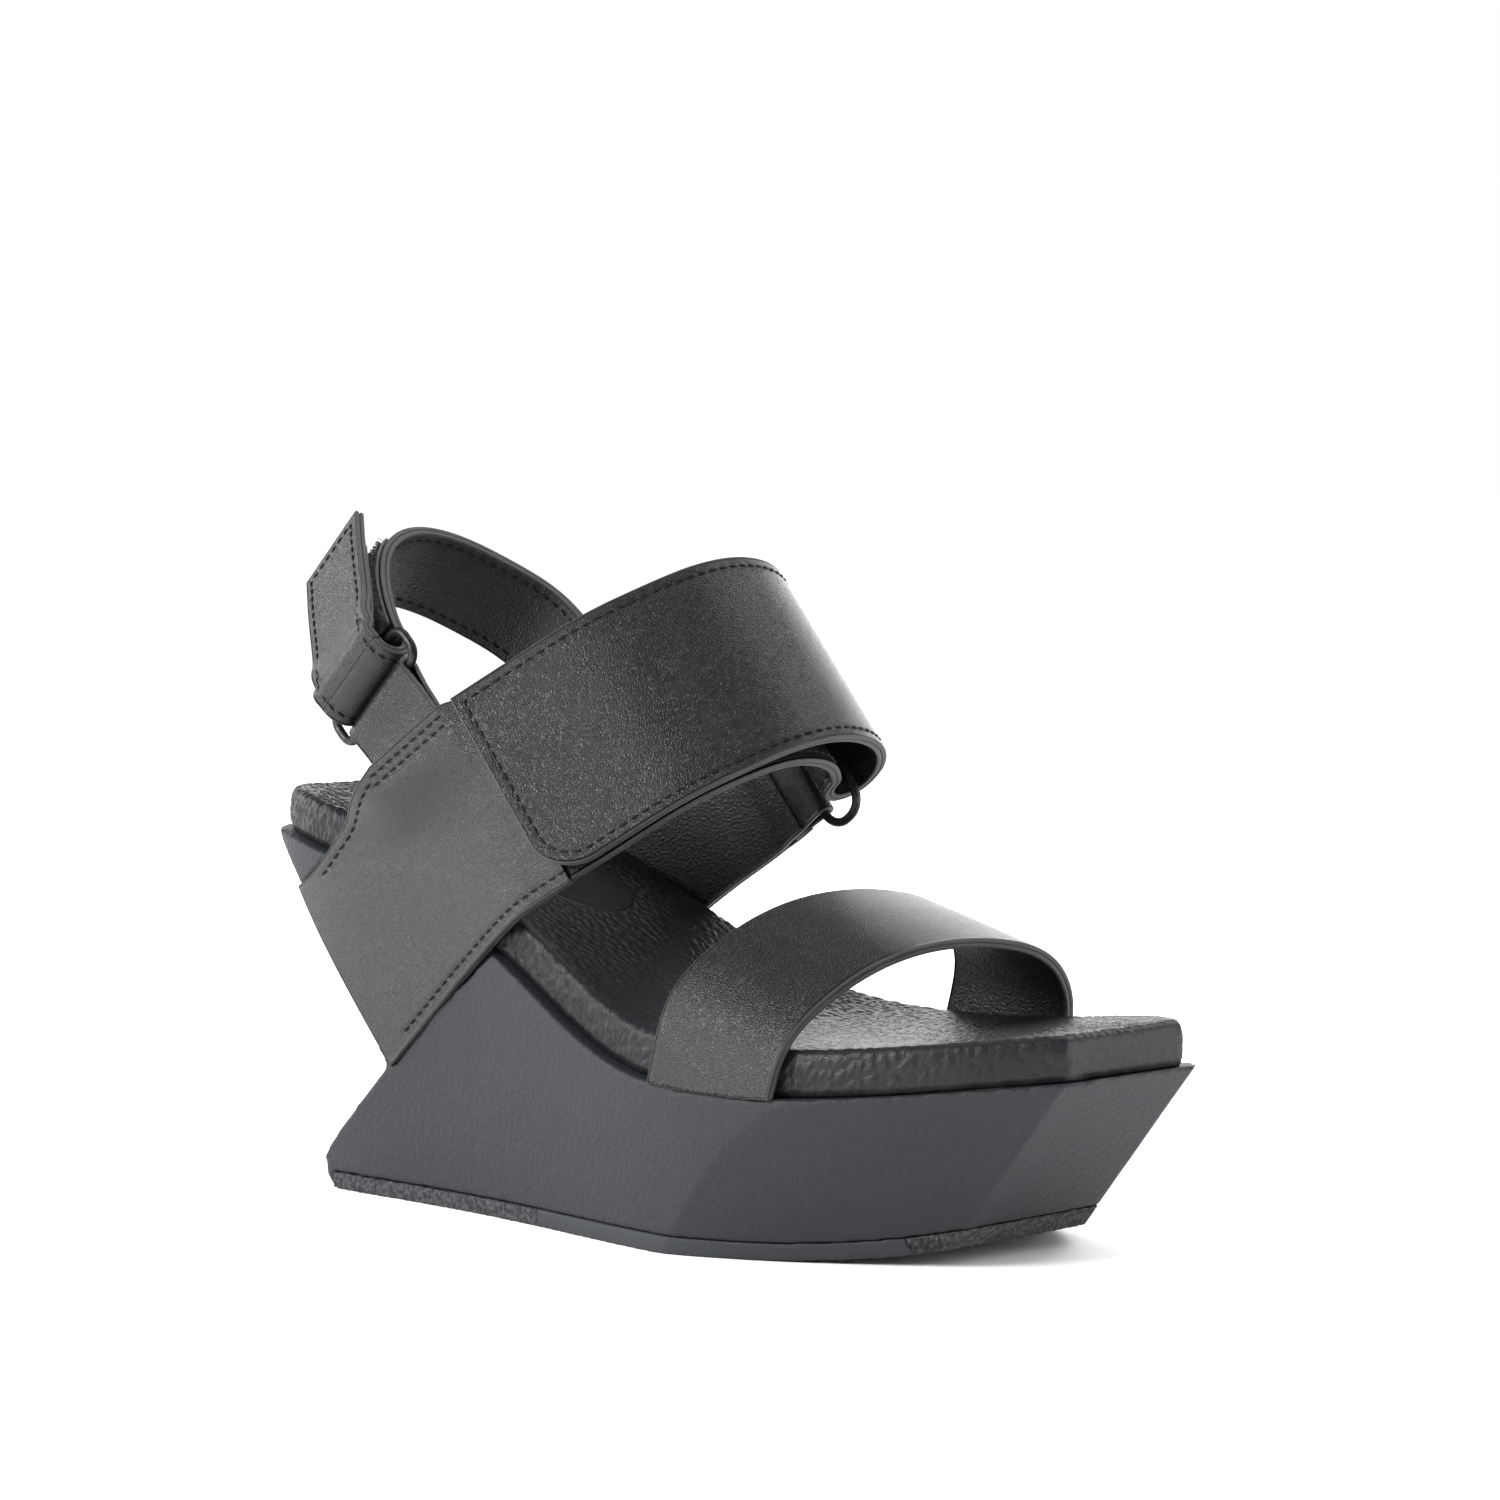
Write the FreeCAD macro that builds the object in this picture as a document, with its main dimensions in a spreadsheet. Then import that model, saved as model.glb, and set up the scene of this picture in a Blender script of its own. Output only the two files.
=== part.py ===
import FreeCAD, Part
import math
import os

import Sketcher

from FreeCAD import Placement, Rotation, Vector

# Right-foot wedge sandal. Millimetres. +X points to the toes, +Y to the medial side, +Z up.
# The origin is a point of the flat part of the sole, close to the middle of the shoe.

X_AXIS = Vector(1, 0, 0)
Y_AXIS = Vector(0, 1, 0)
Z_AXIS = Vector(0, 0, 1)

LATERAL = -1
MEDIAL = 1

# Driving dimensions: name, value, meaning. Angles in degrees, all else in millimetres.
DIMENSIONS = [
    ("glue_gap", 0.05, "clearance between two pieces that are cemented together"),
    ("leather_thickness", 1.25, "one layer of strap leather"),
    ("wall_height", 100.0, "height of the block that the wedge is shaped from"),
    ("span", 70.0, "half width of every tool that cuts across the shoe"),
    ("ledge", 3.3, "how far the wedge stands out beyond the footbed"),
    ("toe_height", 43.0, "height of the wedge's front edge"),
    ("outsole_thickness", 4.0, "rubber under the wedge"),
    ("footbed_thickness", 10.3, "board, foam and cover together"),
    ("board_thickness", 1.6, "insole board"),
    ("cover_thickness", 1.3, "leather over the footbed"),
    ("label_thickness", 0.6, "smooth patch let into the cover"),
    ("shank_thickness", 1.5, "steel stiffener"),
    ("shank_width", 18.0, "steel stiffener"),
    ("shank_length", 112.0, "steel stiffener, along the ground"),
    ("shank_heel", -108.0, "rear end of the stiffener"),
    ("notch_height", 31.0, "height of the corner between heel and tail"),
    ("heel_top", 86.0, "height at which the heel reaches its full plan outline"),
    ("instep_tilt", 39.0, "the instep strap's section plane, above the horizontal"),
    ("instep_start", 63.0, "lower edge of the instep strap, along its own axis"),
    ("instep_width", 52.0, "instep strap"),
    ("ankle_tilt", 135.0, "the ankle strap's section plane"),
    ("ankle_start", -51.5, "lower edge of the ankle strap, along its own axis"),
    ("ankle_width", 25.0, "ankle strap"),
    ("toe_tilt", 75.0, "the toe strap's section plane"),
    ("toe_start", -59.0, "front edge of the toe strap, along its own axis"),
    ("toe_width", 34.5, "toe strap"),
    ("wire_radius", 1.1, "both rings"),
    ("tab_clearance", 0.25, "between a ring and the tab that holds it"),
    ("pad_thickness", 0.8, "hook or loop pad"),
    ("pad_margin", 3.5, "from a strap's edge to the pad on it"),
]

doc = FreeCAD.newDocument("wedge_sandal")
sheet = doc.addObject("Spreadsheet::Sheet", "Dimensions")
for row, (alias, number, meaning) in enumerate(DIMENSIONS, start=1):
    sheet.set("A%d" % row, meaning)
    sheet.set("B%d" % row, str(number))
    sheet.setAlias("B%d" % row, alias)
doc.recompute()

subparts = []


def size(alias):
    """The number that the sheet holds under this alias."""
    return sheet.get(alias)


def bind(item, prop, formula):
    """Bind a property to a formula in which every sheet alias is written as D.alias."""
    item.setExpression(prop, formula.replace("D.", "Dimensions."))


def name_subpart(item, label):
    item.Label = label
    subparts.append(item)
    return item


# ---------------------------------------------------------------- building blocks


def side_plane():
    """Sketch x runs along X and sketch y along Z."""
    return Placement(Vector(0, 0, 0), Rotation(X_AXIS, 90))


def section_plane(tilt, along=0.0):
    """Sketch y runs along Y, sketch x rises from X by tilt; along moves it on its normal."""
    turn = Rotation(Y_AXIS, -tilt)
    return Placement(turn.multVec(Vector(0, 0, along)), turn)


def flat(points):
    return [Vector(x, y, 0) for x, y in points]


def spline(points):
    curve = Part.BSplineCurve()
    curve.interpolate(flat(points))
    return curve


def led_spline(points, lead, trail):
    """A spline with given directions at its two ends."""
    curve = Part.BSplineCurve()
    curve.interpolate(Points=flat(points), InitialTangent=lead, FinalTangent=trail)
    return curve


def polyline(points):
    ends = flat(points)
    return [Part.LineSegment(a, b) for a, b in zip(ends, ends[1:])]


def sketch(name, placement, curves):
    drawing = doc.addObject("Sketcher::SketchObject", name)
    drawing.Placement = placement
    for curve in curves:
        drawing.addGeometry(curve, False)
    return drawing


def parallel(curve, distance, steps):
    """Points beside a curve, distance to the left of its direction of travel."""
    first, last = curve.FirstParameter, curve.LastParameter
    points = []
    for step in range(steps + 1):
        parameter = first + (last - first) * step / steps
        ahead = curve.tangent(parameter)[0]
        points.append(curve.value(parameter) + Vector(-ahead.y, ahead.x, 0) * distance)
    return points


def band(name, placement, path, near, far):
    """Closed sketch between two parallels of a path whose curves join without a kink."""
    edges, rims = [], []
    for distance in (near, far):
        rim = []
        for curve in path:
            if isinstance(curve, Part.LineSegment):
                points = parallel(curve, distance, 1)
                edge = Part.LineSegment(*points)
            else:
                points = parallel(curve, distance, 18)
                edge = Part.BSplineCurve()
                edge.interpolate(points)
            edges.append(edge)
            rim += points
        rims.append(rim)
    ends = [Part.LineSegment(rims[0][end], rims[1][end]) for end in (0, -1)]
    return sketch(name, placement, edges + ends)


def extrude(name, base, direction, forward, backward="0"):
    block = doc.addObject("Part::Extrusion", name)
    block.Base = base
    block.DirMode = "Custom"
    block.Dir = direction
    block.Solid = True
    bind(block, "LengthFwd", forward)
    bind(block, "LengthRev", backward)
    return block


def across(name, outline):
    """A side-view outline carried right across the shoe."""
    return extrude(name, outline, Y_AXIS, "D.span", "D.span")


def common(name, *shapes):
    result = doc.addObject("Part::MultiCommon", name)
    result.Shapes = list(shapes)
    return result


def cut(name, base, tool):
    result = doc.addObject("Part::Cut", name)
    result.Base = base
    result.Tool = tool
    return result


def loft(name, lower, upper):
    result = doc.addObject("Part::Loft", name)
    result.Sections = [lower, upper]
    result.Solid = True
    result.Ruled = True
    return result


# ---------------------------------------------------------------- sole unit

# Wedge outline in plan: lateral side from the toe to the heel, medial side back to the toe.
TOE_CORNER = (127.0, -17.6)
TOE_TIP = (131.2, 21.2)
SIDES = [TOE_CORNER, (84, -41), (48, -46.7), (15, -43.2), (-20, -37), (-60, -33.2),
         (-103, -27.4), (-120, -17), (-127.5, 0), (-120, 17), (-103, 27.4), (-60, 31.6),
         (-20, 31.8), (15, 39.3), (50, 46.8), (78, 46.2), (107, 41), TOE_TIP]

# Top edge of the wedge in side view, from behind the heel to beyond the toe.
RIM_LINE = [(-150, 84.5), (-128, 84.6), (-105, 83), (-80, 78), (-50, 70), (-25, 59.5),
            (0, 46.8), (20, 39.5), (45, 36.5), (75, 37.3), (100, 39.7), (128, 43), (150, 46)]

# Ground line in side view: flat to the ball, then the toe springs up.
TAIL_END = -86.0
BALL = 48.0
TOE_SPRING = [(BALL, 0), (66, 0.4), (86, 2.4), (120, 9.5)]

NOTCH_X = -66.0
TAIL_TIP = (-89.5, 7.5)
HEEL_END = -130.5

# The toe is raked: this outline, true at the toe's upper edge, moves back as it goes down.
RAKE = Vector(0.8, 0, 1.0)
RAKED_CORNER = (126.0, -18.0)
RAKED_TIP = (130.0, 22.0)
RAKED_LATERAL = [RAKED_CORNER, (104, -32), (84, -41.8), (60, -48.5), (0, -62)]
RAKED_MEDIAL = [(0, 62), (60, 51), (84, 47), (108, 41.3), RAKED_TIP]


def toe_plane():
    return Placement(Vector(0, 0, size("toe_height")), Rotation())


def raked_outline():
    behind = polyline([RAKED_LATERAL[-1], (-160, -62), (-160, 62), RAKED_MEDIAL[0]])
    front = polyline([RAKED_TIP, RAKED_CORNER])
    sides = [spline(RAKED_LATERAL), spline(RAKED_MEDIAL)]
    return sketch("raked_plan", toe_plane(), sides + behind + front)


def plan_prism(name, margin):
    """Upright prism of the wedge's plan, drawn in by a margin all round."""
    steps = 96
    points = parallel(spline(SIDES), -margin, steps)
    sides = Part.BSplineCurve()
    sides.interpolate(points)
    outline = sketch(name + "_plan", toe_plane(), [sides, Part.LineSegment(points[-1], points[0])])
    block = extrude(name + "_sides", outline, Z_AXIS, "D.wall_height", "D.toe_height")
    if margin == 0:
        return block
    corner, tip = flat([TOE_CORNER, TOE_TIP])
    ahead = tip - corner
    ahead.normalize()
    back = Vector(-ahead.y, ahead.x, 0)
    near, far = corner + back * margin - ahead * 60, tip + back * margin + ahead * 60
    corners = [near, far, far + back * 300, near + back * 300, near]
    lines = [Part.LineSegment(a, b) for a, b in zip(corners, corners[1:])]
    front = extrude(name + "_front", sketch(name + "_front_edge", toe_plane(), lines), Z_AXIS,
                    "1.1 * D.wall_height", "1.1 * D.toe_height")
    return common(name, block, front)


def wedge_profile():
    """Z-shaped side view: cantilevered heel, notch, tail and forefoot."""
    notch = (NOTCH_X, size("notch_height"))
    nose = (TAIL_TIP[0] + 1.0, TAIL_TIP[1] - 4.5)
    around = [RIM_LINE[-1], (RIM_LINE[-1][0], 0), (TAIL_END, 0), nose, TAIL_TIP,
              (TAIL_TIP[0] + 2.5, TAIL_TIP[1] + 3.5), notch,
              (RIM_LINE[0][0], notch[1]), RIM_LINE[0]]
    return sketch("wedge_profile", side_plane(), [spline(RIM_LINE)] + polyline(around))


def heel_void():
    """The space behind the heel: a straight edge at the notch, the heel's curve at the top."""
    rear = -200.0
    reach = size("span")
    low = sketch("heel_void_low", Placement(Vector(0, 0, size("notch_height")), Rotation()),
                 polyline([(NOTCH_X, -reach), (rear, -reach), (rear, reach), (NOTCH_X, reach)])
                 + [spline([(NOTCH_X, reach), (NOTCH_X, 0), (NOTCH_X, -reach)])])
    curve = [(-60, reach), (-113, 28.5), (-121.5, 18), (-128, 9.5), (HEEL_END, 0),
             (-128, -9.5), (-121.5, -18), (-113, -28.5), (-60, -reach)]
    high = sketch("heel_void_high", Placement(Vector(0, 0, size("heel_top")), Rotation()),
                  polyline([(-60, -reach), (rear, -reach), (rear, reach), (-60, reach)])
                  + [spline(curve)])
    return loft("heel_void", low, high)


def sole_slab(name, near, far):
    """The slab between two heights over the ground line, right across the shoe."""
    spring = led_spline(TOE_SPRING, X_AXIS, Vector(1, 0.2, 0))
    path = polyline([(TAIL_END, 0), (BALL, 0)]) + [spring]
    return across(name, band(name + "_band", side_plane(), path, near, far))


def rim_slab(name, near, far):
    """The slab between two heights over the rim line, right across the shoe."""
    return across(name, band(name + "_band", side_plane(), [spline(RIM_LINE)], near, far))


wall = plan_prism("wall", 0)
raked_wall = extrude("raked_wall", raked_outline(), RAKE, "D.wall_height", "D.wall_height")
sole_prism = common("sole_prism", wall, raked_wall)


# Quarters: leather panels let into the wedge's sides and rising to the straps.
ANKLE_SEAM = [(-69, 102), (-45, 117.5)]
QUARTER_BACK = [(NOTCH_X + 0.5, 31.6), (-100.5, 71.5), (-89, 79), (-80, 89.5), (-73.5, 97)]
QUARTER_FRONT = [(-17, 70), (-29, 59.5), (-48, 45.5), (-62, 32.2)]


def strap_point(tilt, rise, along):
    """Side-view point of a strap's section plane: rise up its slope, along its normal."""
    angle = math.radians(tilt)
    return (rise * math.cos(angle) - along * math.sin(angle),
            rise * math.sin(angle) + along * math.cos(angle))


def instep_point(rise, along):
    return strap_point(size("instep_tilt"), rise, along)


STRAP_JOIN = 47.0
TAB_JOIN = 61.0
UPPER_EDGE = size("instep_start") + size("instep_width")


def quarter_outline(name, join):
    """Side view of a quarter whose front meets the instep strap or tab at the rise join."""
    top = instep_point(join, UPPER_EDGE)
    low = instep_point(join, size("instep_start"))
    points = QUARTER_BACK + ANKLE_SEAM + [top, low] + QUARTER_FRONT + QUARTER_BACK[:1]
    return sketch(name, side_plane(), polyline(points))


lateral_outline = quarter_outline("lateral_outline", STRAP_JOIN)
medial_outline = quarter_outline("medial_outline", TAB_JOIN)


def half_across(name, outline, side):
    return extrude(name, outline, Vector(0, side, 0), "D.span")


GAP = size("glue_gap")
LEATHER = size("leather_thickness")


def leather_shell(name, depth):
    """One layer of leather that follows the wedge's plan, its face at a depth."""
    face = plan_prism(name + "_face", depth)
    back = plan_prism(name + "_back", depth + LEATHER)
    return cut(name, face, back)


outer_shell = leather_shell("outer_shell", GAP)
lining_shell = leather_shell("lining_shell", 2 * GAP + LEATHER)
recess_prism = plan_prism("recess_prism", 3 * GAP + 2 * LEATHER)


def make_quarter(side_name, outline, side):
    panel = half_across(side_name + "_panel", outline, side)
    name_subpart(common(side_name + "_outer_solid", outer_shell, panel),
                 side_name + "_quarter_outer")
    name_subpart(common(side_name + "_lining_solid", lining_shell, panel),
                 side_name + "_quarter_lining")
    return panel


def make_wedge():
    profile = across("wedge_side", wedge_profile())
    block = common("wedge_block", sole_prism, profile)
    undercut = cut("wedge_undercut", block, heel_void())
    sole_room = sole_slab("sole_room", -10.0, size("outsole_thickness") + size("glue_gap"))
    trimmed = cut("wedge_trimmed", undercut, sole_room)
    for side_name, outline in (("lateral", lateral_outline), ("medial", medial_outline)):
        side = LATERAL if side_name == "lateral" else MEDIAL
        panel = half_across(side_name + "_recess_panel", outline, side)
        recess = cut(side_name + "_recess", panel, recess_prism)
        trimmed = cut("wedge_with_%s_recess" % side_name, trimmed, recess)
    name_subpart(cut("wedge_solid", trimmed, shank_room()), "wedge_midsole")


def shank_room():
    """Groove in the top of the wedge, one glue gap larger than the stiffener."""
    slab = rim_slab("shank_room", -size("shank_thickness") - 2 * size("glue_gap"), 1.0)
    box = doc.addObject("Part::Box", "shank_room_box")
    bind(box, "Length", "D.shank_length + 2 * D.glue_gap")
    bind(box, "Width", "D.shank_width + 2 * D.glue_gap")
    bind(box, "Height", "D.wall_height")
    bind(box, "Placement.Base.x", "D.shank_heel - D.glue_gap")
    bind(box, "Placement.Base.y", "-D.shank_width / 2 - D.glue_gap")
    return common("shank_groove", slab, box)


def make_shank():
    gap = size("glue_gap")
    slab = rim_slab("shank_slab", -gap - size("shank_thickness"), -gap)
    box = doc.addObject("Part::Box", "shank_box")
    bind(box, "Length", "D.shank_length")
    bind(box, "Width", "D.shank_width")
    bind(box, "Height", "D.wall_height")
    bind(box, "Placement.Base.x", "D.shank_heel")
    bind(box, "Placement.Base.y", "-D.shank_width / 2")
    name_subpart(common("shank_solid", slab, box), "shank")


def make_outsoles():
    """Three rubber pieces; the joint before the toe runs aslant in side view."""
    slab = common("outsole_slab", sole_slab("outsole_side", 0.0, size("outsole_thickness")), sole_prism)
    low, high = -2.0, 20.0
    gap = size("glue_gap")
    first, second, slant = -10.0, 89.0, 5.0
    spans = {
        "outsole_heel": (-110.0, -110.0, first - gap, first - gap),
        "outsole_waist": (first, first, second - gap, second - slant - gap),
        "outsole_toe": (second, second - slant, 140.0, 140.0),
    }
    for label, (low_start, high_start, low_end, high_end) in spans.items():
        points = [(low_start, low), (low_end, low), (high_end, high), (high_start, high),
                  (low_start, low)]
        window = across(label + "_window", sketch(label + "_span", side_plane(), polyline(points)))
        name_subpart(common(label + "_solid", slab, window), label)


LABEL_FRONT, LABEL_REAR, LABEL_HALF = -21.0, -86.0, 14.0


def label_prism(name, growth):
    """Long patch with rounded ends, seen from above."""
    half = LABEL_HALF + growth
    front, rear = LABEL_FRONT - LABEL_HALF, LABEL_REAR + LABEL_HALF
    nose = Part.Arc(Vector(front, -half, 0), Vector(front + half, 0, 0), Vector(front, half, 0))
    tail = Part.Arc(Vector(rear, half, 0), Vector(rear - half, 0, 0), Vector(rear, -half, 0))
    sides = polyline([(front, half), (rear, half)]) + polyline([(rear, -half), (front, -half)])
    outline = sketch(name + "_outline", Placement(), [nose, tail] + sides)
    return extrude(name + "_prism", outline, Z_AXIS, "1.2 * D.wall_height")


def make_footbed():
    gap = size("glue_gap")
    lining_line = size("ledge") + size("cover_thickness")
    edge = plan_prism("cover_edge", size("ledge"))
    inside = plan_prism("cover_inside", lining_line)
    core_edge = plan_prism("core_edge", lining_line + gap)

    top = size("footbed_thickness")
    under_cover = top - size("cover_thickness")
    board_top = gap + size("board_thickness")
    label_seat = top - size("label_thickness")

    whole = common("cover_block", edge, rim_slab("cover_slab", gap, top))
    hollow = common("cover_hollow", inside, rim_slab("hollow_slab", -1.0, under_cover))
    shell = cut("cover_shell", whole, hollow)
    recess = common("label_recess", label_prism("recess", gap),
                    rim_slab("recess_slab", label_seat, top + 1.0))
    name_subpart(cut("cover_solid", shell, recess), "footbed_cover")
    name_subpart(common("board_solid", core_edge, rim_slab("board_slab", gap, board_top)),
                 "insole_board")
    name_subpart(common("core_solid", core_edge,
                        rim_slab("core_slab", board_top + gap, under_cover - gap)),
                 "footbed_core")
    name_subpart(common("label_solid", label_prism("label", 0.0),
                        rim_slab("label_slab", label_seat + gap, top)), "sock_label")


# ---------------------------------------------------------------- straps and rings

# Section paths of the straps, as (rise up the section plane, Y). Each path runs where the two
# leather layers meet.
INSTEP_BAR = (78.0, 35.0)
INSTEP_TAB_BAR = (67.0, 35.0)
INSTEP_LOOP_CENTRE = (79.0, 34.0)
INSTEP_LOOP = 6.0
INSTEP_STANDING = [(STRAP_JOIN + 1.2, -34.5), (56.7, -28.9), (66.7, -23.2), (75, -17.5), (84, -7),
                   (88.5, 3), (88.6, 12), (85, 22), (81, 26.8)]
INSTEP_FLAP = [(82, 39.7), (86, 38), (90.5, 34), (96.5, 22), (97.6, 11), (94.5, 0), (88, -9.5),
               (77, -21.5), (67, -28.2), (47, -40)]

ANKLE_BAR = (136.5, -36.0)
ANKLE_TAB_BAR = (127.5, -36.0)
ANKLE_LOOP = 5.0
FLAP_GAP = 0.7
ANKLE_STANDING = [(113, 31.5), (132, 31.3), (148, 29), (160, 19), (168.5, 7), (170.8, -4),
                  (166, -16), (156, -24.5), (144, -29.6)]
ANKLE_FLAP = [(141, -41.6), (151, -37.5), (163, -29), (177, -19)]

TOE_ARCH = [(42, -45.3), (54, -45.3), (65, -43.4), (76, -32.5), (83, -17), (85.6, 3),
            (84, 21), (78, 37), (67, 45), (56, 45.6), (42, 45.6)]


def loop_arc(centre, radius, side):
    """Half turn round a ring's bar, from the foot side to the outside."""
    rise, level = centre
    return Part.Arc(Vector(rise, level - side * radius, 0), Vector(rise - radius, level, 0),
                    Vector(rise, level + side * radius, 0))


def standing_path(points, centre, radius, side):
    """The standing part of a folded strap: a curve, then a half turn round the ring's bar."""
    rise, level = centre
    first, second = flat(points[:2])
    run = led_spline(points + [(rise, level - side * radius)], second - first, -X_AXIS)
    return [run, loop_arc(centre, radius, side)]


def strap_layer(name, strap, path, near, far, spare=0.0):
    """A band between two parallels of a path, carried along the strap's own axis."""
    placement = section_plane(size(strap + "_tilt"), size(strap + "_start"))
    axis = placement.Rotation.multVec(Z_AXIS)
    return extrude(name, band(name + "_band", placement, path, near, far), axis,
                   "D.%s_width + %s" % (strap, spare), str(spare))


def strap_pair(stem, strap, path, outside, spare=0.0):
    """Outer and lining solids on the two sides of a path; outside is the outer's sign."""
    gap, leather = size("glue_gap"), size("leather_thickness")
    outer = strap_layer(stem + "_outer_layer", strap, path, outside * gap, outside * leather,
                        spare)
    lining = strap_layer(stem + "_lining_layer", strap, path, 0.0, -outside * leather, spare)
    return outer, lining


def pad_layer(name, strap, path, side):
    near = size("leather_thickness") + size("glue_gap")
    return strap_layer(name, strap, path, side * near, side * (near + size("pad_thickness")))


def instep_window(name, rise_from, rise_to, margin, corner):
    """Side-view window on the instep strap, its lower end corner rounded."""
    low = size("instep_start") + margin
    high = UPPER_EDGE - margin
    near, far = (rise_from, low), (rise_to, high)
    centre = (near[0] + corner, near[1] + corner)
    diagonal = corner * math.sqrt(0.5)
    stations = [(near[0], centre[1]), (centre[0] - diagonal, centre[1] - diagonal),
                (centre[0], near[1])]
    arc = Part.Arc(*[Vector(*instep_point(*station), 0) for station in stations])
    walk = [stations[2], (far[0], near[1]), far, (near[0], far[1]), stations[0]]
    lines = polyline([instep_point(*station) for station in walk])
    return sketch(name, side_plane(), [arc] + lines)


def make_instep_strap():
    standing = standing_path(INSTEP_STANDING, INSTEP_LOOP_CENTRE, INSTEP_LOOP, MEDIAL)
    outer, lining = strap_pair("instep_strap", "instep", standing, -1)
    name_subpart(outer, "instep_strap_outer")
    name_subpart(lining, "instep_strap_lining")

    rise, level = INSTEP_LOOP_CENTRE
    flap = [spline([(rise + FLAP_GAP, level + INSTEP_LOOP)] + INSTEP_FLAP)]
    window = across("instep_flap_window",
                    instep_window("instep_flap_outline", INSTEP_FLAP[-1][0] + 0.6, 110.0, 0.0, 12.0))
    spare = 1.0
    outer, lining = strap_pair("instep_flap", "instep", flap, 1, spare)
    name_subpart(common("instep_flap_outer_solid", outer, window), "instep_flap_outer")
    name_subpart(common("instep_flap_lining_solid", lining, window), "instep_flap_lining")

    pad_window = half_across("instep_pad_window",
                             instep_window("instep_pad_outline", 54.0, 76.0,
                                           size("pad_margin"), 6.0), LATERAL)
    loop = pad_layer("instep_loop_layer", "instep", standing, -1)
    hook = pad_layer("instep_hook_layer", "instep", flap, -1)
    name_subpart(common("instep_loop_solid", loop, pad_window), "instep_loop_pad")
    name_subpart(common("instep_hook_solid", hook, pad_window), "instep_hook_pad")


def ankle_window(name, rise_from, rise_to, margin):
    low = size("ankle_start") + margin
    high = size("ankle_start") + size("ankle_width") - margin
    walk = [(rise_from, low), (rise_to, low), (rise_to, high), (rise_from, high),
            (rise_from, low)]
    points = [strap_point(size("ankle_tilt"), *station) for station in walk]
    return sketch(name, side_plane(), polyline(points))


def make_ankle_strap(medial_panel):
    standing = standing_path(ANKLE_STANDING, ANKLE_BAR, ANKLE_LOOP, LATERAL)
    outer, lining = strap_pair("ankle_strap", "ankle", standing, 1)
    name_subpart(cut("ankle_strap_outer_solid", outer, medial_panel), "ankle_strap_outer")
    name_subpart(cut("ankle_strap_lining_solid", lining, medial_panel), "ankle_strap_lining")

    rise, level = ANKLE_BAR
    flap = [spline([(rise + FLAP_GAP, level - ANKLE_LOOP)] + ANKLE_FLAP)]
    outer, lining = strap_pair("ankle_flap", "ankle", flap, -1)
    name_subpart(outer, "ankle_flap_outer")
    name_subpart(lining, "ankle_flap_lining")

    window = half_across("ankle_pad_window",
                         ankle_window("ankle_pad_outline", 142.0, 164.0, 2.0), LATERAL)
    loop = pad_layer("ankle_loop_layer", "ankle", standing, 1)
    hook = pad_layer("ankle_hook_layer", "ankle", flap, 1)
    name_subpart(common("ankle_loop_solid", loop, window), "ankle_loop_pad")
    name_subpart(common("ankle_hook_solid", hook, window), "ankle_hook_pad")


def tab_path(seam, bar):
    """A leather strip that leaves the seam, goes round the bar and comes back."""
    radius = size("wire_radius") + size("tab_clearance")
    root, end = flat([seam, bar])
    forward = end - root
    forward.normalize()
    aside = Vector(-forward.y, forward.x, 0) * radius
    turn = Part.Arc(end + aside, end + forward * radius, end - aside)
    legs = [Part.LineSegment(root + aside, end + aside), Part.LineSegment(end - aside, root - aside)]
    return [legs[0], turn, legs[1]]


def make_tabs(lateral_panel):
    leather = size("leather_thickness")
    ankle = strap_layer("ankle_tab_layer", "ankle", tab_path((109, -35.6), ANKLE_TAB_BAR),
                        0.0, leather)
    name_subpart(cut("ankle_tab_solid", ankle, lateral_panel), "ankle_tab")
    instep = strap_layer("instep_tab_layer", "instep",
                         tab_path((TAB_JOIN + 2.3, 31.3), INSTEP_TAB_BAR), 0.0, leather)
    name_subpart(instep, "instep_tab")


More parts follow.
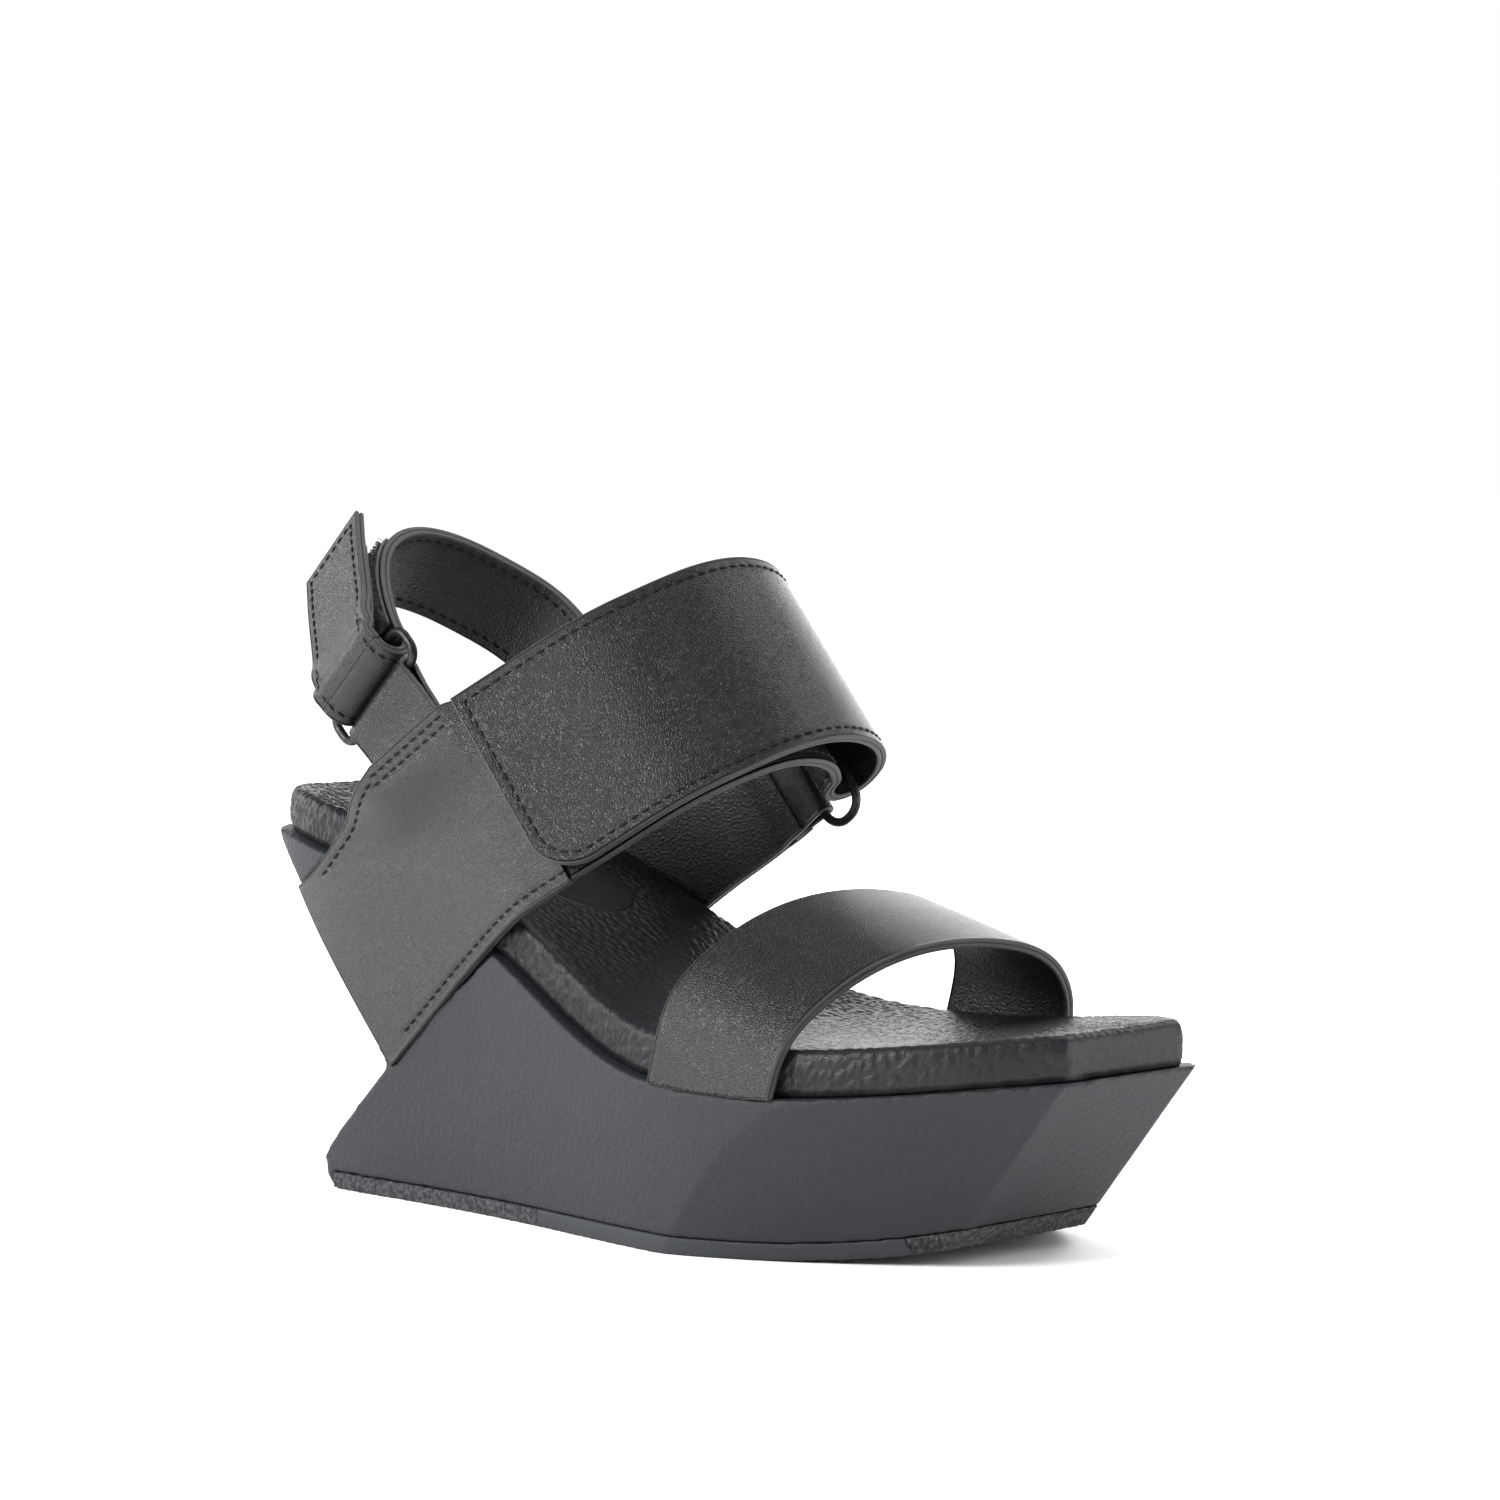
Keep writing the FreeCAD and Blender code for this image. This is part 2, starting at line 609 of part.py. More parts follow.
def make_ring(label, tilt, rises, level, along, corner):
    """Wire ring in the plane of constant Y: a rounded rectangle of wire."""
    body = name_subpart(doc.addObject("PartDesign::Body", label + "_body"), label)
    planes = {plane.Role: plane for plane in body.Origin.OriginFeatures}
    path = body.newObject("Sketcher::SketchObject", label + "_path")
    path.AttachmentSupport = [(planes["XY_Plane"], "")]
    path.MapMode = "FlatFace"
    (left, right), (low, high) = rises, along
    slope = corner * (1 - math.sqrt(0.5))
    corners = [
        ((left, low + corner), (left + slope, low + slope), (left + corner, low)),
        ((right - corner, low), (right - slope, low + slope), (right, low + corner)),
        ((right, high - corner), (right - slope, high - slope), (right - corner, high)),
        ((left + corner, high), (left + slope, high - slope), (left, high - corner)),
    ]
    for index, (begin, middle, end) in enumerate(corners):
        following = corners[(index + 1) % 4][0]
        path.addGeometry(Part.Arc(*flat([begin, middle, end])), False)
        path.addGeometry(Part.LineSegment(*flat([end, following])), False)
    wire = body.newObject("Sketcher::SketchObject", label + "_wire")
    wire.AttachmentSupport = [(planes["XZ_Plane"], "")]
    wire.MapMode = "FlatFace"
    wire.AttachmentOffset = Placement(Vector(left, 0, -(low + high) / 2), Rotation())
    wire.addGeometry(Part.Circle(Vector(0, 0, 0), Z_AXIS, size("wire_radius")), False)
    radius_index = wire.addConstraint(Sketcher.Constraint("Radius", 0, size("wire_radius")))
    wire.renameConstraint(radius_index, "wire")
    bind(wire, "Constraints.wire", "D.wire_radius")
    doc.recompute()
    pipe = body.newObject("PartDesign::AdditivePipe", label + "_pipe")
    pipe.Profile = wire
    pipe.Spine = (path, ["Edge%d" % number for number in range(1, 9)])
    body.Tip = pipe
    # Body x rises up the strap's section plane, body y runs along the strap's axis.
    turn = Rotation(Y_AXIS, -size(tilt)).multiply(Rotation(X_AXIS, 90))
    body.Placement = Placement(Vector(0, level, 0), turn)


def make_rings():
    corner = 5.0
    start = size("instep_start")
    make_ring("instep_ring", "instep_tilt", (INSTEP_TAB_BAR[0], INSTEP_BAR[0]), INSTEP_BAR[1],
              (start - corner, UPPER_EDGE + corner), corner)
    corner = 3.5
    start = size("ankle_start")
    make_ring("ankle_ring", "ankle_tilt", (ANKLE_TAB_BAR[0], ANKLE_BAR[0]), ANKLE_BAR[1],
              (start - corner, start + size("ankle_width") + corner), corner)


def make_toe_strap():
    """Plain arch, skewed: its medial end sits a little further forward."""
    yaw = Rotation(Z_AXIS, -5)
    pivot = Vector(71, 0, 0)
    base = section_plane(size("toe_tilt"), size("toe_start"))
    turned = Placement(pivot - yaw.multVec(pivot), yaw).multiply(base)
    path = [spline(TOE_ARCH)]
    axis = base.Rotation.multVec(Z_AXIS)
    leather, gap = size("leather_thickness"), size("glue_gap")
    floor = rim_slab("toe_strap_floor", -25.0, gap)
    for label, near, far in (("toe_strap_outer", -gap, -leather), ("toe_strap_lining", 0, leather)):
        arch = extrude(label + "_arch", band(label + "_band", turned, path, near, far),
                       axis, "D.toe_width")
        name_subpart(cut(label + "_solid", arch, floor), label)


# ---------------------------------------------------------------- assembly

make_wedge()
make_shank()
make_outsoles()
make_footbed()
lateral_panel = make_quarter("lateral", lateral_outline, LATERAL)
medial_panel = make_quarter("medial", medial_outline, MEDIAL)
make_instep_strap()
make_ankle_strap(medial_panel)
make_tabs(lateral_panel)
make_rings()
make_toe_strap()
doc.recompute()

for item in doc.Objects:
    if "Invalid" in item.State or "Error" in item.State:
        raise RuntimeError("%s failed: %s" % (item.Name, item.State))
for item in subparts:
    if item.Shape.isNull() or not item.Shape.isValid() or len(item.Shape.Solids) != 1:
        raise RuntimeError("%s is not one valid solid" % item.Label)

os.makedirs("parts", exist_ok=True)
for item in subparts:
    item.Shape.exportStep(os.path.join("parts", item.Label + ".step"))
    box = item.Shape.BoundBox
    print("%-24s %d solids %9.0f mm3  x %.1f..%.1f y %.1f..%.1f z %.1f..%.1f" % (
        item.Label, len(item.Shape.Solids), item.Shape.Volume,
        box.XMin, box.XMax, box.YMin, box.YMax, box.ZMin, box.ZMax))
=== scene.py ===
import math

import bmesh
import bpy
import numpy as np
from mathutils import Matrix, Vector


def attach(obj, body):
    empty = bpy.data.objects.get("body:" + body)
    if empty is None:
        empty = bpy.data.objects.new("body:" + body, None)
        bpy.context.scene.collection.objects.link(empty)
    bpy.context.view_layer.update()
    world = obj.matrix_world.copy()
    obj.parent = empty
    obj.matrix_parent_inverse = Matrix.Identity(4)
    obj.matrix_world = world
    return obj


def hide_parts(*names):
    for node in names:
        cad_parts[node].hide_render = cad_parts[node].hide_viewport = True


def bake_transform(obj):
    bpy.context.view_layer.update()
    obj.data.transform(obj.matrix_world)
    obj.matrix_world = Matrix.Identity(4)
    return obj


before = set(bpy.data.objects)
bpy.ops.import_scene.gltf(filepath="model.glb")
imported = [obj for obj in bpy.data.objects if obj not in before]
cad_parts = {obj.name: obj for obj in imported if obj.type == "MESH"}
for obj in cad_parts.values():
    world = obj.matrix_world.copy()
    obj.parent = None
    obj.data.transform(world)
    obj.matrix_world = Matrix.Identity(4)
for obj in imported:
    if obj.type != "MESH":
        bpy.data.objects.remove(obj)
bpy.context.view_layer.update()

# Shapes are worked out in millimetres, in the CAD's frame: +X toes, +Y medial side, +Z up.
MM = 0.001

# One layer of leather, the gap between two glued layers, and the radius of a cut edge.
LEATHER = 1.25
GAP = 0.05
ROUND = 0.38
# Size of a mesh square on the leather.
FINE = 0.6
STITCH_INSET = 2.6
STITCH_PITCH = 3.0
# Flat coordinates on the leather are millimetres; its textures count them in units of 100 mm.
TEXTURE_UNIT = 100
RIM_TEXTURE_STEP = 0.003


# ---------------------------------------------------------------- curves


def bend_through(points, lead=None, trail=None, step=0.4):
    """Even points on a smooth curve through the given ones, with optional end directions."""
    knots = np.array(points, float)
    chords = np.linalg.norm(np.diff(knots, axis=0), axis=1)
    count = len(knots)
    matrix = np.eye(count)
    right = np.zeros_like(knots)
    slopes = np.diff(knots, axis=0) / chords[:, None]
    for i in range(1, count - 1):
        matrix[i, i - 1:i + 2] = (chords[i - 1], 2 * (chords[i - 1] + chords[i]), chords[i])
        right[i] = 6 * (slopes[i] - slopes[i - 1])
    if lead is not None:
        matrix[0, :2] = (2, 1)
        right[0] = 6 / chords[0] * (slopes[0] - np.array(lead, float))
    if trail is not None:
        matrix[-1, -2:] = (1, 2)
        right[-1] = 6 / chords[-1] * (np.array(trail, float) - slopes[-1])
    bends = np.linalg.solve(matrix, right)
    pieces = []
    for i, chord in enumerate(chords):
        t = np.linspace(0, chord, 40, endpoint=False)[:, None]
        a, b = (chord - t) / chord, t / chord
        pieces.append(a * knots[i] + b * knots[i + 1]
                      + chord ** 2 / 6 * ((a ** 3 - a) * bends[i] + (b ** 3 - b) * bends[i + 1]))
    pieces.append(knots[-1:])
    return evenly(np.concatenate(pieces), step)


def unit(vectors):
    return vectors / np.maximum(np.linalg.norm(vectors, axis=-1, keepdims=True), 1e-12)


def lengths(points):
    """Distance of each point along its line."""
    return np.concatenate([[0], np.cumsum(np.linalg.norm(np.diff(points, axis=0), axis=1))])


def at_runs(stations, run, points):
    """Points at given distances along a line whose own distances are run."""
    return np.stack([np.interp(stations, run, column) for column in points.T], -1)


def spaced(points, count):
    run = lengths(points)
    return at_runs(np.linspace(0, run[-1], count), run, points)


def evenly(points, step):
    return spaced(points, max(2, int(round(lengths(points)[-1] / step)) + 1))


def sharp(points, step):
    """Even points on straight runs, every corner kept."""
    parts = []
    for a, b in zip(points, points[1:]):
        a, b = np.array(a, float), np.array(b, float)
        count = max(1, int(round(np.linalg.norm(b - a) / step)))
        parts.append(a + (b - a) * np.linspace(0, 1, count, endpoint=False)[:, None])
    return np.concatenate(parts + [np.array(points[-1:], float)])


def left_of(points):
    """Unit directions to the left of a flat line."""
    ahead = unit(np.gradient(points, axis=0))
    return np.stack([-ahead[:, 1], ahead[:, 0]], 1)


def inset(points, distance):
    """A line beside a flat line, to its left, corners mitred."""
    points = np.array(points, float)
    ahead = unit(np.diff(points, axis=0))
    side = np.stack([-ahead[:, 1], ahead[:, 0]], 1)
    mitres = [(a + b) / (1 + a @ b) for a, b in zip(side, side[1:])]
    return points + distance * np.array([side[0]] + mitres + [side[-1]])


def distance_to_line(x, y, line):
    """Distance from each grid point to a flat polyline."""
    best = np.full(x.shape, 1e9)
    for (ax, ay), (bx, by) in zip(line[:-1], line[1:]):
        dx, dy = bx - ax, by - ay
        t = np.clip(((x - ax) * dx + (y - ay) * dy) / max(dx * dx + dy * dy, 1e-9), 0, 1)
        best = np.minimum(best, np.hypot(x - ax - t * dx, y - ay - t * dy))
    return best


# ---------------------------------------------------------------- noise for real relief


def hashed(i, j, seed):
    """A repeatable random share, 0..1, for each whole-number place."""
    n = (i * 374761393 + j * 668265263 + seed * 362437) & 0x7FFFFFFF
    n = ((n ^ (n >> 13)) * 1274126177) & 0x7FFFFFFF
    return ((n ^ (n >> 16)) & 0xFFFF) / 65535.0


def swell(x, y, size, seed):
    """Smooth value noise, -1..1."""
    x, y = x / size, y / size
    i, j = np.floor(x).astype(np.int64), np.floor(y).astype(np.int64)
    u, v = x - i, y - j
    u, v = u * u * (3 - 2 * u), v * v * (3 - 2 * v)
    low = hashed(i, j, seed) * (1 - u) + hashed(i + 1, j, seed) * u
    high = hashed(i, j + 1, seed) * (1 - u) + hashed(i + 1, j + 1, seed) * u
    return 2 * (low * (1 - v) + high * v) - 1


def pebbles(x, y, size, seed):
    """Rounded cells with creases between them, 0..1."""
    x = x / size + 0.35 * swell(x, y, size * 1.7, seed + 5)
    y = y / size + 0.35 * swell(x * size, y, size * 1.7, seed + 6)
    i, j = np.floor(x).astype(np.int64), np.floor(y).astype(np.int64)
    first = np.full(x.shape, 9.0)
    second = np.full(x.shape, 9.0)
    for di in (-1, 0, 1):
        for dj in (-1, 0, 1):
            cx = i + di + hashed(i + di, j + dj, seed)
            cy = j + dj + hashed(i + di, j + dj, seed + 1)
            d = np.hypot(x - cx, y - cy)
            second = np.minimum(second, np.maximum(first, d))
            first = np.minimum(first, d)
    return 1 - np.exp(-((second - first) / 0.3) ** 2)


# ---------------------------------------------------------------- materials


class Look:
    """A material put together round its Principled shader."""

    def __init__(self, name, source="Object"):
        self.material = bpy.data.materials.new(name)
        self.material.use_nodes = True
        self.nodes, self.links = self.material.node_tree.nodes, self.material.node_tree.links
        self.inputs = self.nodes["Principled BSDF"].inputs
        self.place = self.nodes.new("ShaderNodeTexCoord").outputs[source]

    def node(self, kind, result, linked, **settings):
        """Adds a node: its linked inputs, its plain inputs, and which output to give back."""
        node = self.nodes.new(kind)
        for name, value in settings.items():
            node.inputs[name].default_value = value
        for name, socket in linked.items():
            self.links.new(socket, node.inputs[name])
        return node.outputs[result]

    def noise(self, scale, detail=4.0, roughness=0.55):
        return self.node("ShaderNodeTexNoise", "Fac", {"Vector": self.place}, Scale=scale,
                         Detail=detail, Roughness=roughness)

    def cells(self, scale, feature):
        distance = self.node("ShaderNodeTexVoronoi", "Distance", {"Vector": self.place},
                             Scale=scale)
        distance.node.feature = feature
        return distance

    def ramp(self, value, *stops):
        """Turns a value into greys or colours; each stop is a position and what it gives."""
        colours = self.node("ShaderNodeValToRGB", "Color", {"Fac": value})
        for element, (position, colour) in zip(colours.node.color_ramp.elements, stops):
            element.position = position
            element.color = (*(colour if isinstance(colour, tuple) else (colour,) * 3), 1.0)
        return colours

    def mix(self, a, b, share):
        mixed = self.node("ShaderNodeMix", 0, {2: a, 3: b})
        mixed.node.inputs[0].default_value = share
        return mixed

    def bump(self, height, strength, distance, below=None):
        linked = {"Height": height, "Normal": below} if below else {"Height": height}
        return self.node("ShaderNodeBump", "Normal", linked, Strength=strength, Distance=distance)

    def finish(self, **settings):
        """Sets the shader: a socket is linked, a plain value is written. Gives the material."""
        for name, value in settings.items():
            entry = self.inputs[name.replace("_", " ")]
            if isinstance(value, bpy.types.NodeSocket):
                self.links.new(value, entry)
            else:
                entry.default_value = value
        return self.material


def shades(base, spread):
    return tuple(c * (1 - spread) for c in base), tuple(c * (1 + spread) for c in base)


def leather(name, base, rough, grain, relief, source="UV", coarse=0.25, spec=0.42):
    """Grained leather: fine cells over a soft unevenness. grain is cells per unit."""
    look = Look(name, source)
    cells = look.ramp(look.cells(grain, "DISTANCE_TO_EDGE"), (0.0, 0.0), (0.32, 1.0))
    height = look.mix(cells, look.noise(grain * 1.7, 3.0), 0.4)
    broad = look.noise(grain * 0.035, 3.0)
    soft = look.bump(broad, coarse, relief * 6)
    dark, light = shades(base, 0.22)
    return look.finish(
        Normal=look.bump(height, 0.75, relief, soft),
        Base_Color=look.ramp(broad, (0.3, dark), (0.7, light)),
        Roughness=look.ramp(height, (0.1, min(rough + 0.16, 1)), (0.8, rough - 0.03)),
        Specular_IOR_Level=spec)


def matte(name, base, rough, size, relief, fleck=0.08, spec=0.3):
    """Moulded plastic or rubber with a fine leathery skin; size in metres."""
    look = Look(name)
    grit = look.noise(1.9 / size, 4.0, 0.65)
    height = look.mix(look.cells(1 / size, "SMOOTH_F1"), grit, 0.5)
    dark, light = shades(base, fleck)
    return look.finish(
        Normal=look.bump(height, 0.7, relief),
        Base_Color=look.ramp(look.noise(55.0), (0.3, dark), (0.7, light)),
        Roughness=look.ramp(grit, (0.3, rough - 0.07), (0.7, min(rough + 0.08, 1.0))),
        Specular_IOR_Level=spec)


def crumb(name, base):
    """Rubber with a crumbly pressed texture."""
    look = Look(name)
    lumps = look.cells(900.0, "F1")
    height = look.mix(lumps, look.noise(2200.0, 5.0, 0.7), 0.45)
    dark, light = shades(base, 0.5)
    return look.finish(
        Normal=look.bump(height, 0.9, 0.0005),
        Base_Color=look.ramp(lumps, (0.1, light), (0.7, dark)),
        Roughness=0.86, Specular_IOR_Level=0.3)


def wire_metal(name):
    """Dark plated wire, a little worn."""
    look = Look(name)
    wear = look.noise(700.0, 6.0, 0.6)
    return look.finish(
        Normal=look.bump(wear, 0.25, 0.0001),
        Base_Color=look.ramp(wear, (0.35, (0.02, 0.019, 0.0185)), (0.7, (0.055, 0.052, 0.05))),
        Roughness=look.ramp(wear, (0.3, 0.5), (0.7, 0.36)), Metallic=0.85)


def thread(name):
    """Twisted thread: its fibres show as a fine uneven surface."""
    look = Look(name)
    fibre = look.noise(4500.0, 2.0)
    return look.finish(
        Normal=look.bump(fibre, 0.6, 0.0001),
        Base_Color=look.ramp(fibre, (0.3, (0.003, 0.003, 0.003)), (0.75, (0.008, 0.0078, 0.0075))),
        Roughness=0.62, Specular_IOR_Level=0.22)


def fuzz(name, base):
    """The woven tape and the loops or hooks of a closure."""
    look = Look(name)
    nap = look.noise(3000.0, 4.0, 0.7)
    dark, light = shades(base, 0.6)
    return look.finish(
        Normal=look.bump(nap, 1.0, 0.0006),
        Base_Color=look.ramp(nap, (0.3, dark), (0.7, light)),
        Roughness=0.9, Sheen_Weight=0.4)


# Cells of the strap leather's grain in one texture unit.
CELLS = 190.0
STRAP = leather("strap_leather", (0.0066, 0.0059, 0.0050), 0.31, CELLS, 0.00018)
LINING = leather("lining_leather", (0.0085, 0.0088, 0.0095), 0.42, CELLS * 0.5, 0.00025)
EDGE = leather("edge_paint", (0.034, 0.035, 0.036), 0.5, CELLS * 1.6, 0.00006)
FOOTBED = leather("footbed_leather", (0.0062, 0.0069, 0.0083), 0.40, 1400.0, 0.00007,
                  source="Object", coarse=0.1, spec=0.32)
PATCH = leather("patch_leather", (0.0028, 0.003, 0.0034), 0.32, 1500.0, 0.00005, source="Object")
MOULDED = matte("moulded_wedge", (0.0126, 0.0142, 0.0172), 0.58, 0.0013, 0.0005, fleck=0.05,
                spec=0.34)
SMOOTH_RUBBER = matte("smooth_rubber", (0.026, 0.0285, 0.033), 0.66, 0.0008, 0.00008)
CRUMB_RUBBER = crumb("crumb_rubber", (0.047, 0.049, 0.053))
WIRE = wire_metal("gunmetal_wire")
THREAD = thread("black_thread")
PILE = fuzz("loop_pile", (0.010, 0.010, 0.0105))
HOOKS = fuzz("hook_tape", (0.008, 0.008, 0.0085))
BOARD = matte("fibre_board", (0.30, 0.25, 0.18), 0.85, 0.0006, 0.0002)
FOAM = matte("cushion_foam", (0.08, 0.08, 0.085), 0.9, 0.0005, 0.0003)
STEEL = wire_metal("shank_steel")


# ---------------------------------------------------------------- mesh building


def smooth_shaded(mesh):
    mesh.polygons.foreach_set("use_smooth", np.ones(len(mesh.polygons), bool))


def add_object(name, data):
    holder = bpy.data.objects.new(name, data)
    bpy.context.scene.collection.objects.link(holder)
    return holder


def mesh_object(name, points, faces, materials, uv=None, marks=None):
    """A smooth-shaded mesh from millimetre points; uv per point, marks per face."""
    mesh = bpy.data.meshes.new(name)
    mesh.from_pydata((np.asarray(points) * MM).tolist(), [], [list(map(int, f)) for f in faces])
    mesh.update()
    smooth_shaded(mesh)
    if marks is not None:
        mesh.polygons.foreach_set("material_index", np.asarray(marks, np.int32))
    if uv is not None:
        layer = mesh.uv_layers.new(name="flat")
        loops = np.zeros(len(mesh.loops), np.int32)
        mesh.loops.foreach_get("vertex_index", loops)
        layer.data.foreach_set("uv", np.asarray(uv, np.float32)[loops].ravel())
    for material in materials:
        mesh.materials.append(material)
    return add_object(name, mesh)


def quads(index):
    """Faces of a grid of point numbers."""
    return np.stack([index[:-1, :-1], index[1:, :-1], index[1:, 1:], index[:-1, 1:]],
                    -1).reshape(-1, 4)


def grid_normals(grid):
    return unit(np.cross(np.gradient(grid, axis=0), np.gradient(grid, axis=1)))


def panel(name, mid, flat, facing, materials, thickness=LEATHER, relief=0.0, sway=0.0,
          turned=None, butts=()):
    """A sheet of leather with rounded edges, from its middle surface.

    mid is a grid of points, flat the same grid on the cut leather, and facing the side of the
    front. relief moves the front face and sway the whole sheet. Past turned millimetres the
    front has the fourth material, and an end in butts is cut flush.
    """
    normal = grid_normals(mid) * facing
    mid = mid + normal * np.asarray(sway)[..., None] if np.ndim(sway) else mid
    normal = grid_normals(mid) * facing
    rows, columns = mid.shape[:2]
    half = thickness / 2
    lift = np.asarray(relief)[..., None] if np.ndim(relief) else relief
    front, back = mid + normal * (half + lift), mid - normal * half

    # The rim: grid places round the edge, and the way out of the sheet at each.
    ring = ([(0, j) for j in range(columns)] + [(i, columns - 1) for i in range(1, rows)]
            + [(rows - 1, j) for j in range(columns - 2, -1, -1)]
            + [(i, 0) for i in range(rows - 2, 0, -1)])
    across = {0: unit(mid[0] - mid[1]), rows - 1: unit(mid[-1] - mid[-2])}
    along = {0: unit(mid[:, 0] - mid[:, 1]), columns - 1: unit(mid[:, -1] - mid[:, -2])}
    joined = [(i == 0 and "start" in butts) or (i == rows - 1 and "end" in butts)
              for i, j in ring]

    def square_to(edge, way):
        run = unit(edge)
        return unit(way - run * (way @ run))

    outward = []
    for (i, j), flush in zip(ring, joined):
        parts = []
        if i in across and not flush:
            edge = mid[i, min(j + 1, columns - 1)] - mid[i, max(j - 1, 0)]
            parts.append(square_to(edge, across[i][j]))
        if j in along:
            edge = mid[min(i + 1, rows - 1), j] - mid[max(i - 1, 0), j]
            parts.append(square_to(edge, along[j][i]))
        if len(parts) == 2:
            parts = [(parts[0] + parts[1]) / (1 + max(parts[0] @ parts[1], 0.0))]
        outward.append(parts[0] if parts else np.zeros(3))
    outward = np.array(outward)
    texture = flat / TEXTURE_UNIT
    rim_mid, rim_normal, rim_texture = (np.array([grid[k] for k in ring])
                                        for grid in (mid, normal, texture))

    points = [front.reshape(-1, 3), back.reshape(-1, 3)]
    uv = [texture.reshape(-1, 2)] * 2
    number = np.arange(rows * columns).reshape(rows, columns)
    faces = [quads(number), quads(number + rows * columns)[:, ::-1]]
    if facing < 0:
        faces = [f[:, ::-1] for f in faces]
    marks = [np.zeros(len(faces[0])), np.ones(len(faces[1]))]
    if turned is not None:
        marks[0] = np.where(flat[:-1, :-1, 0].ravel() > turned, 3, 0)

    size = len(ring)
    start = 2 * rows * columns
    rim_marks = np.where(joined, 0, 2)
    loops = [np.array([number[k] for k in ring])]
    bends = np.radians((30, 60, 90))
    profile = [(ROUND * math.sin(a), half - ROUND + ROUND * math.cos(a)) for a in bends]
    profile += [(out, -height) for out, height in reversed(profile)]
    for k, (out, height) in enumerate(profile):
        points.append(rim_mid + outward * out + rim_normal * height)
        uv.append(rim_texture + RIM_TEXTURE_STEP * (k + 1))
        loops.append(start + k * size + np.arange(size))
    loops.append(loops[0] + rows * columns)
    for near, far in zip(loops, loops[1:]):
        band = np.stack([near, far, np.roll(far, -1), np.roll(near, -1)], 1)
        faces.append(band if facing > 0 else band[:, ::-1])
        marks.append(rim_marks)
    return mesh_object(name, np.concatenate(points), np.concatenate(faces), materials,
                       np.concatenate(uv), np.concatenate(marks))


def tube_faces(count, sections, sides):
    """Faces of many closed tubes, each a row of rings of points."""
    index = np.arange(count * sections * sides).reshape(count, sections, sides)
    near, far = index[:, :-1], index[:, 1:]
    walls = np.stack([near, np.roll(near, -1, 2), np.roll(far, -1, 2), far], -1)
    return walls.reshape(-1, 4).tolist() + index[:, 0, ::-1].tolist() + index[:, -1].tolist()


# A stitch: half width, how far its middle stands out, how much of the pitch it covers, how far
# it slants, and its sections (share of the length, share of the width, drop into the leather).
STITCH_HALF = 0.27
STITCH_LIFT = 0.03
STITCH_COVER = 0.8
STITCH_SLANT = 0.22
STITCH_SIDES = 7
STITCH_SECTIONS = np.array([(-0.5, 0.35, -0.34), (-0.4, 0.75, -0.16), (-0.2, 0.98, 0.0),
                            (0.0, 1.0, 0.05), (0.2, 0.98, 0.0), (0.4, 0.75, -0.16),
                            (0.5, 0.35, -0.34)])


def stitch_row(points, normals):
    """Thread stitches along a line on a surface: points and faces of short plump capsules."""
    run = lengths(points)
    count = max(2, int(run[-1] / STITCH_PITCH))
    pitch = run[-1] / count
    stations, girth, rise = STITCH_SECTIONS.T
    at = ((np.arange(count) + 0.5) * pitch)[:, None] + stations * pitch * STITCH_COVER
    spot, up = at_runs(at, run, points), unit(at_runs(at, run, normals))
    side = unit(np.cross(unit(np.gradient(spot, axis=1)), up))
    core = spot + side * (stations * STITCH_SLANT)[:, None] + up * (STITCH_LIFT + rise)[:, None]
    angles = (np.arange(STITCH_SIDES) * 2 * math.pi / STITCH_SIDES)[:, None]
    around = np.cos(angles) * side[:, :, None] + np.sin(angles) * up[:, :, None]
    made = core[:, :, None] + STITCH_HALF * girth[:, None, None] * around
    return made.reshape(-1, 3), tube_faces(*made.shape[:3])


def stitches(name, rows):
    """One object for several rows, each a line's points and the normals there."""
    points, faces, base = [], [], 0
    for row in rows:
        row_points, row_faces = stitch_row(*row)
        points.append(row_points)
        faces += [[i + base for i in face] for face in row_faces]
        base += len(row_points)
    return mesh_object(name, np.concatenate(points), faces, [THREAD])


def finish_piece(piece, node=None):
    """A piece that stays with the sandal; node is the CAD piece that it stands for."""
    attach(piece, "sandal")
    if node:
        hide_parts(node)


# ---------------------------------------------------------------- straps


class Strap:
    """A strap's section plane: rise up its slope, level along Y; along is the strap's axis."""

    def __init__(self, tilt, start, width, yaw=0.0, pivot=0.0):
        a = math.radians(tilt)
        self.rise = np.array([math.cos(a), 0, math.sin(a)])
        self.axis = np.array([-math.sin(a), 0, math.cos(a)])
        self.start, self.width = start, width
        self.yaw, self.pivot = math.radians(yaw), np.array([pivot, 0, 0])

    def place(self, flat, along):
        point = flat[..., 0, None] * self.rise + self.start * self.axis
        point = point + flat[..., 1, None] * np.array([0, 1, 0])
        c, s = math.cos(self.yaw), math.sin(self.yaw)
        turn = np.array([[c, -s, 0], [s, c, 0], [0, 0, 1]])
        point = (point - self.pivot) @ turn.T + self.pivot
        return point + np.asarray(along)[..., None] * self.axis


class Ribbon:
    """One layer of a strap: flat coordinates are run, along the path, and along, across it.

    side is the side of the path that its front looks to: 1 left of the way along it, -1 right.
    """

    def __init__(self, strap, path, offset, side):
        self.strap, self.facing = strap, -side
        self.path = path + left_of(path) * offset
        self.run = lengths(path)
        self.length = self.run[-1]

    def mid(self, run, along):
        return self.strap.place(at_runs(run, self.run, self.path), along)

    def ahead(self, run, along):
        reach = 0.2
        return self.mid(run + reach, along) - self.mid(run - reach, along)

    def line(self, flat, height=LEATHER / 2):
        """Points and normals on the front face along a flat line."""
        run, along = evenly(np.array(flat, float), 0.5).T
        normal = unit(np.cross(self.ahead(run, along), self.strap.axis)) * self.facing
        return self.mid(run, along) + normal * height, normal


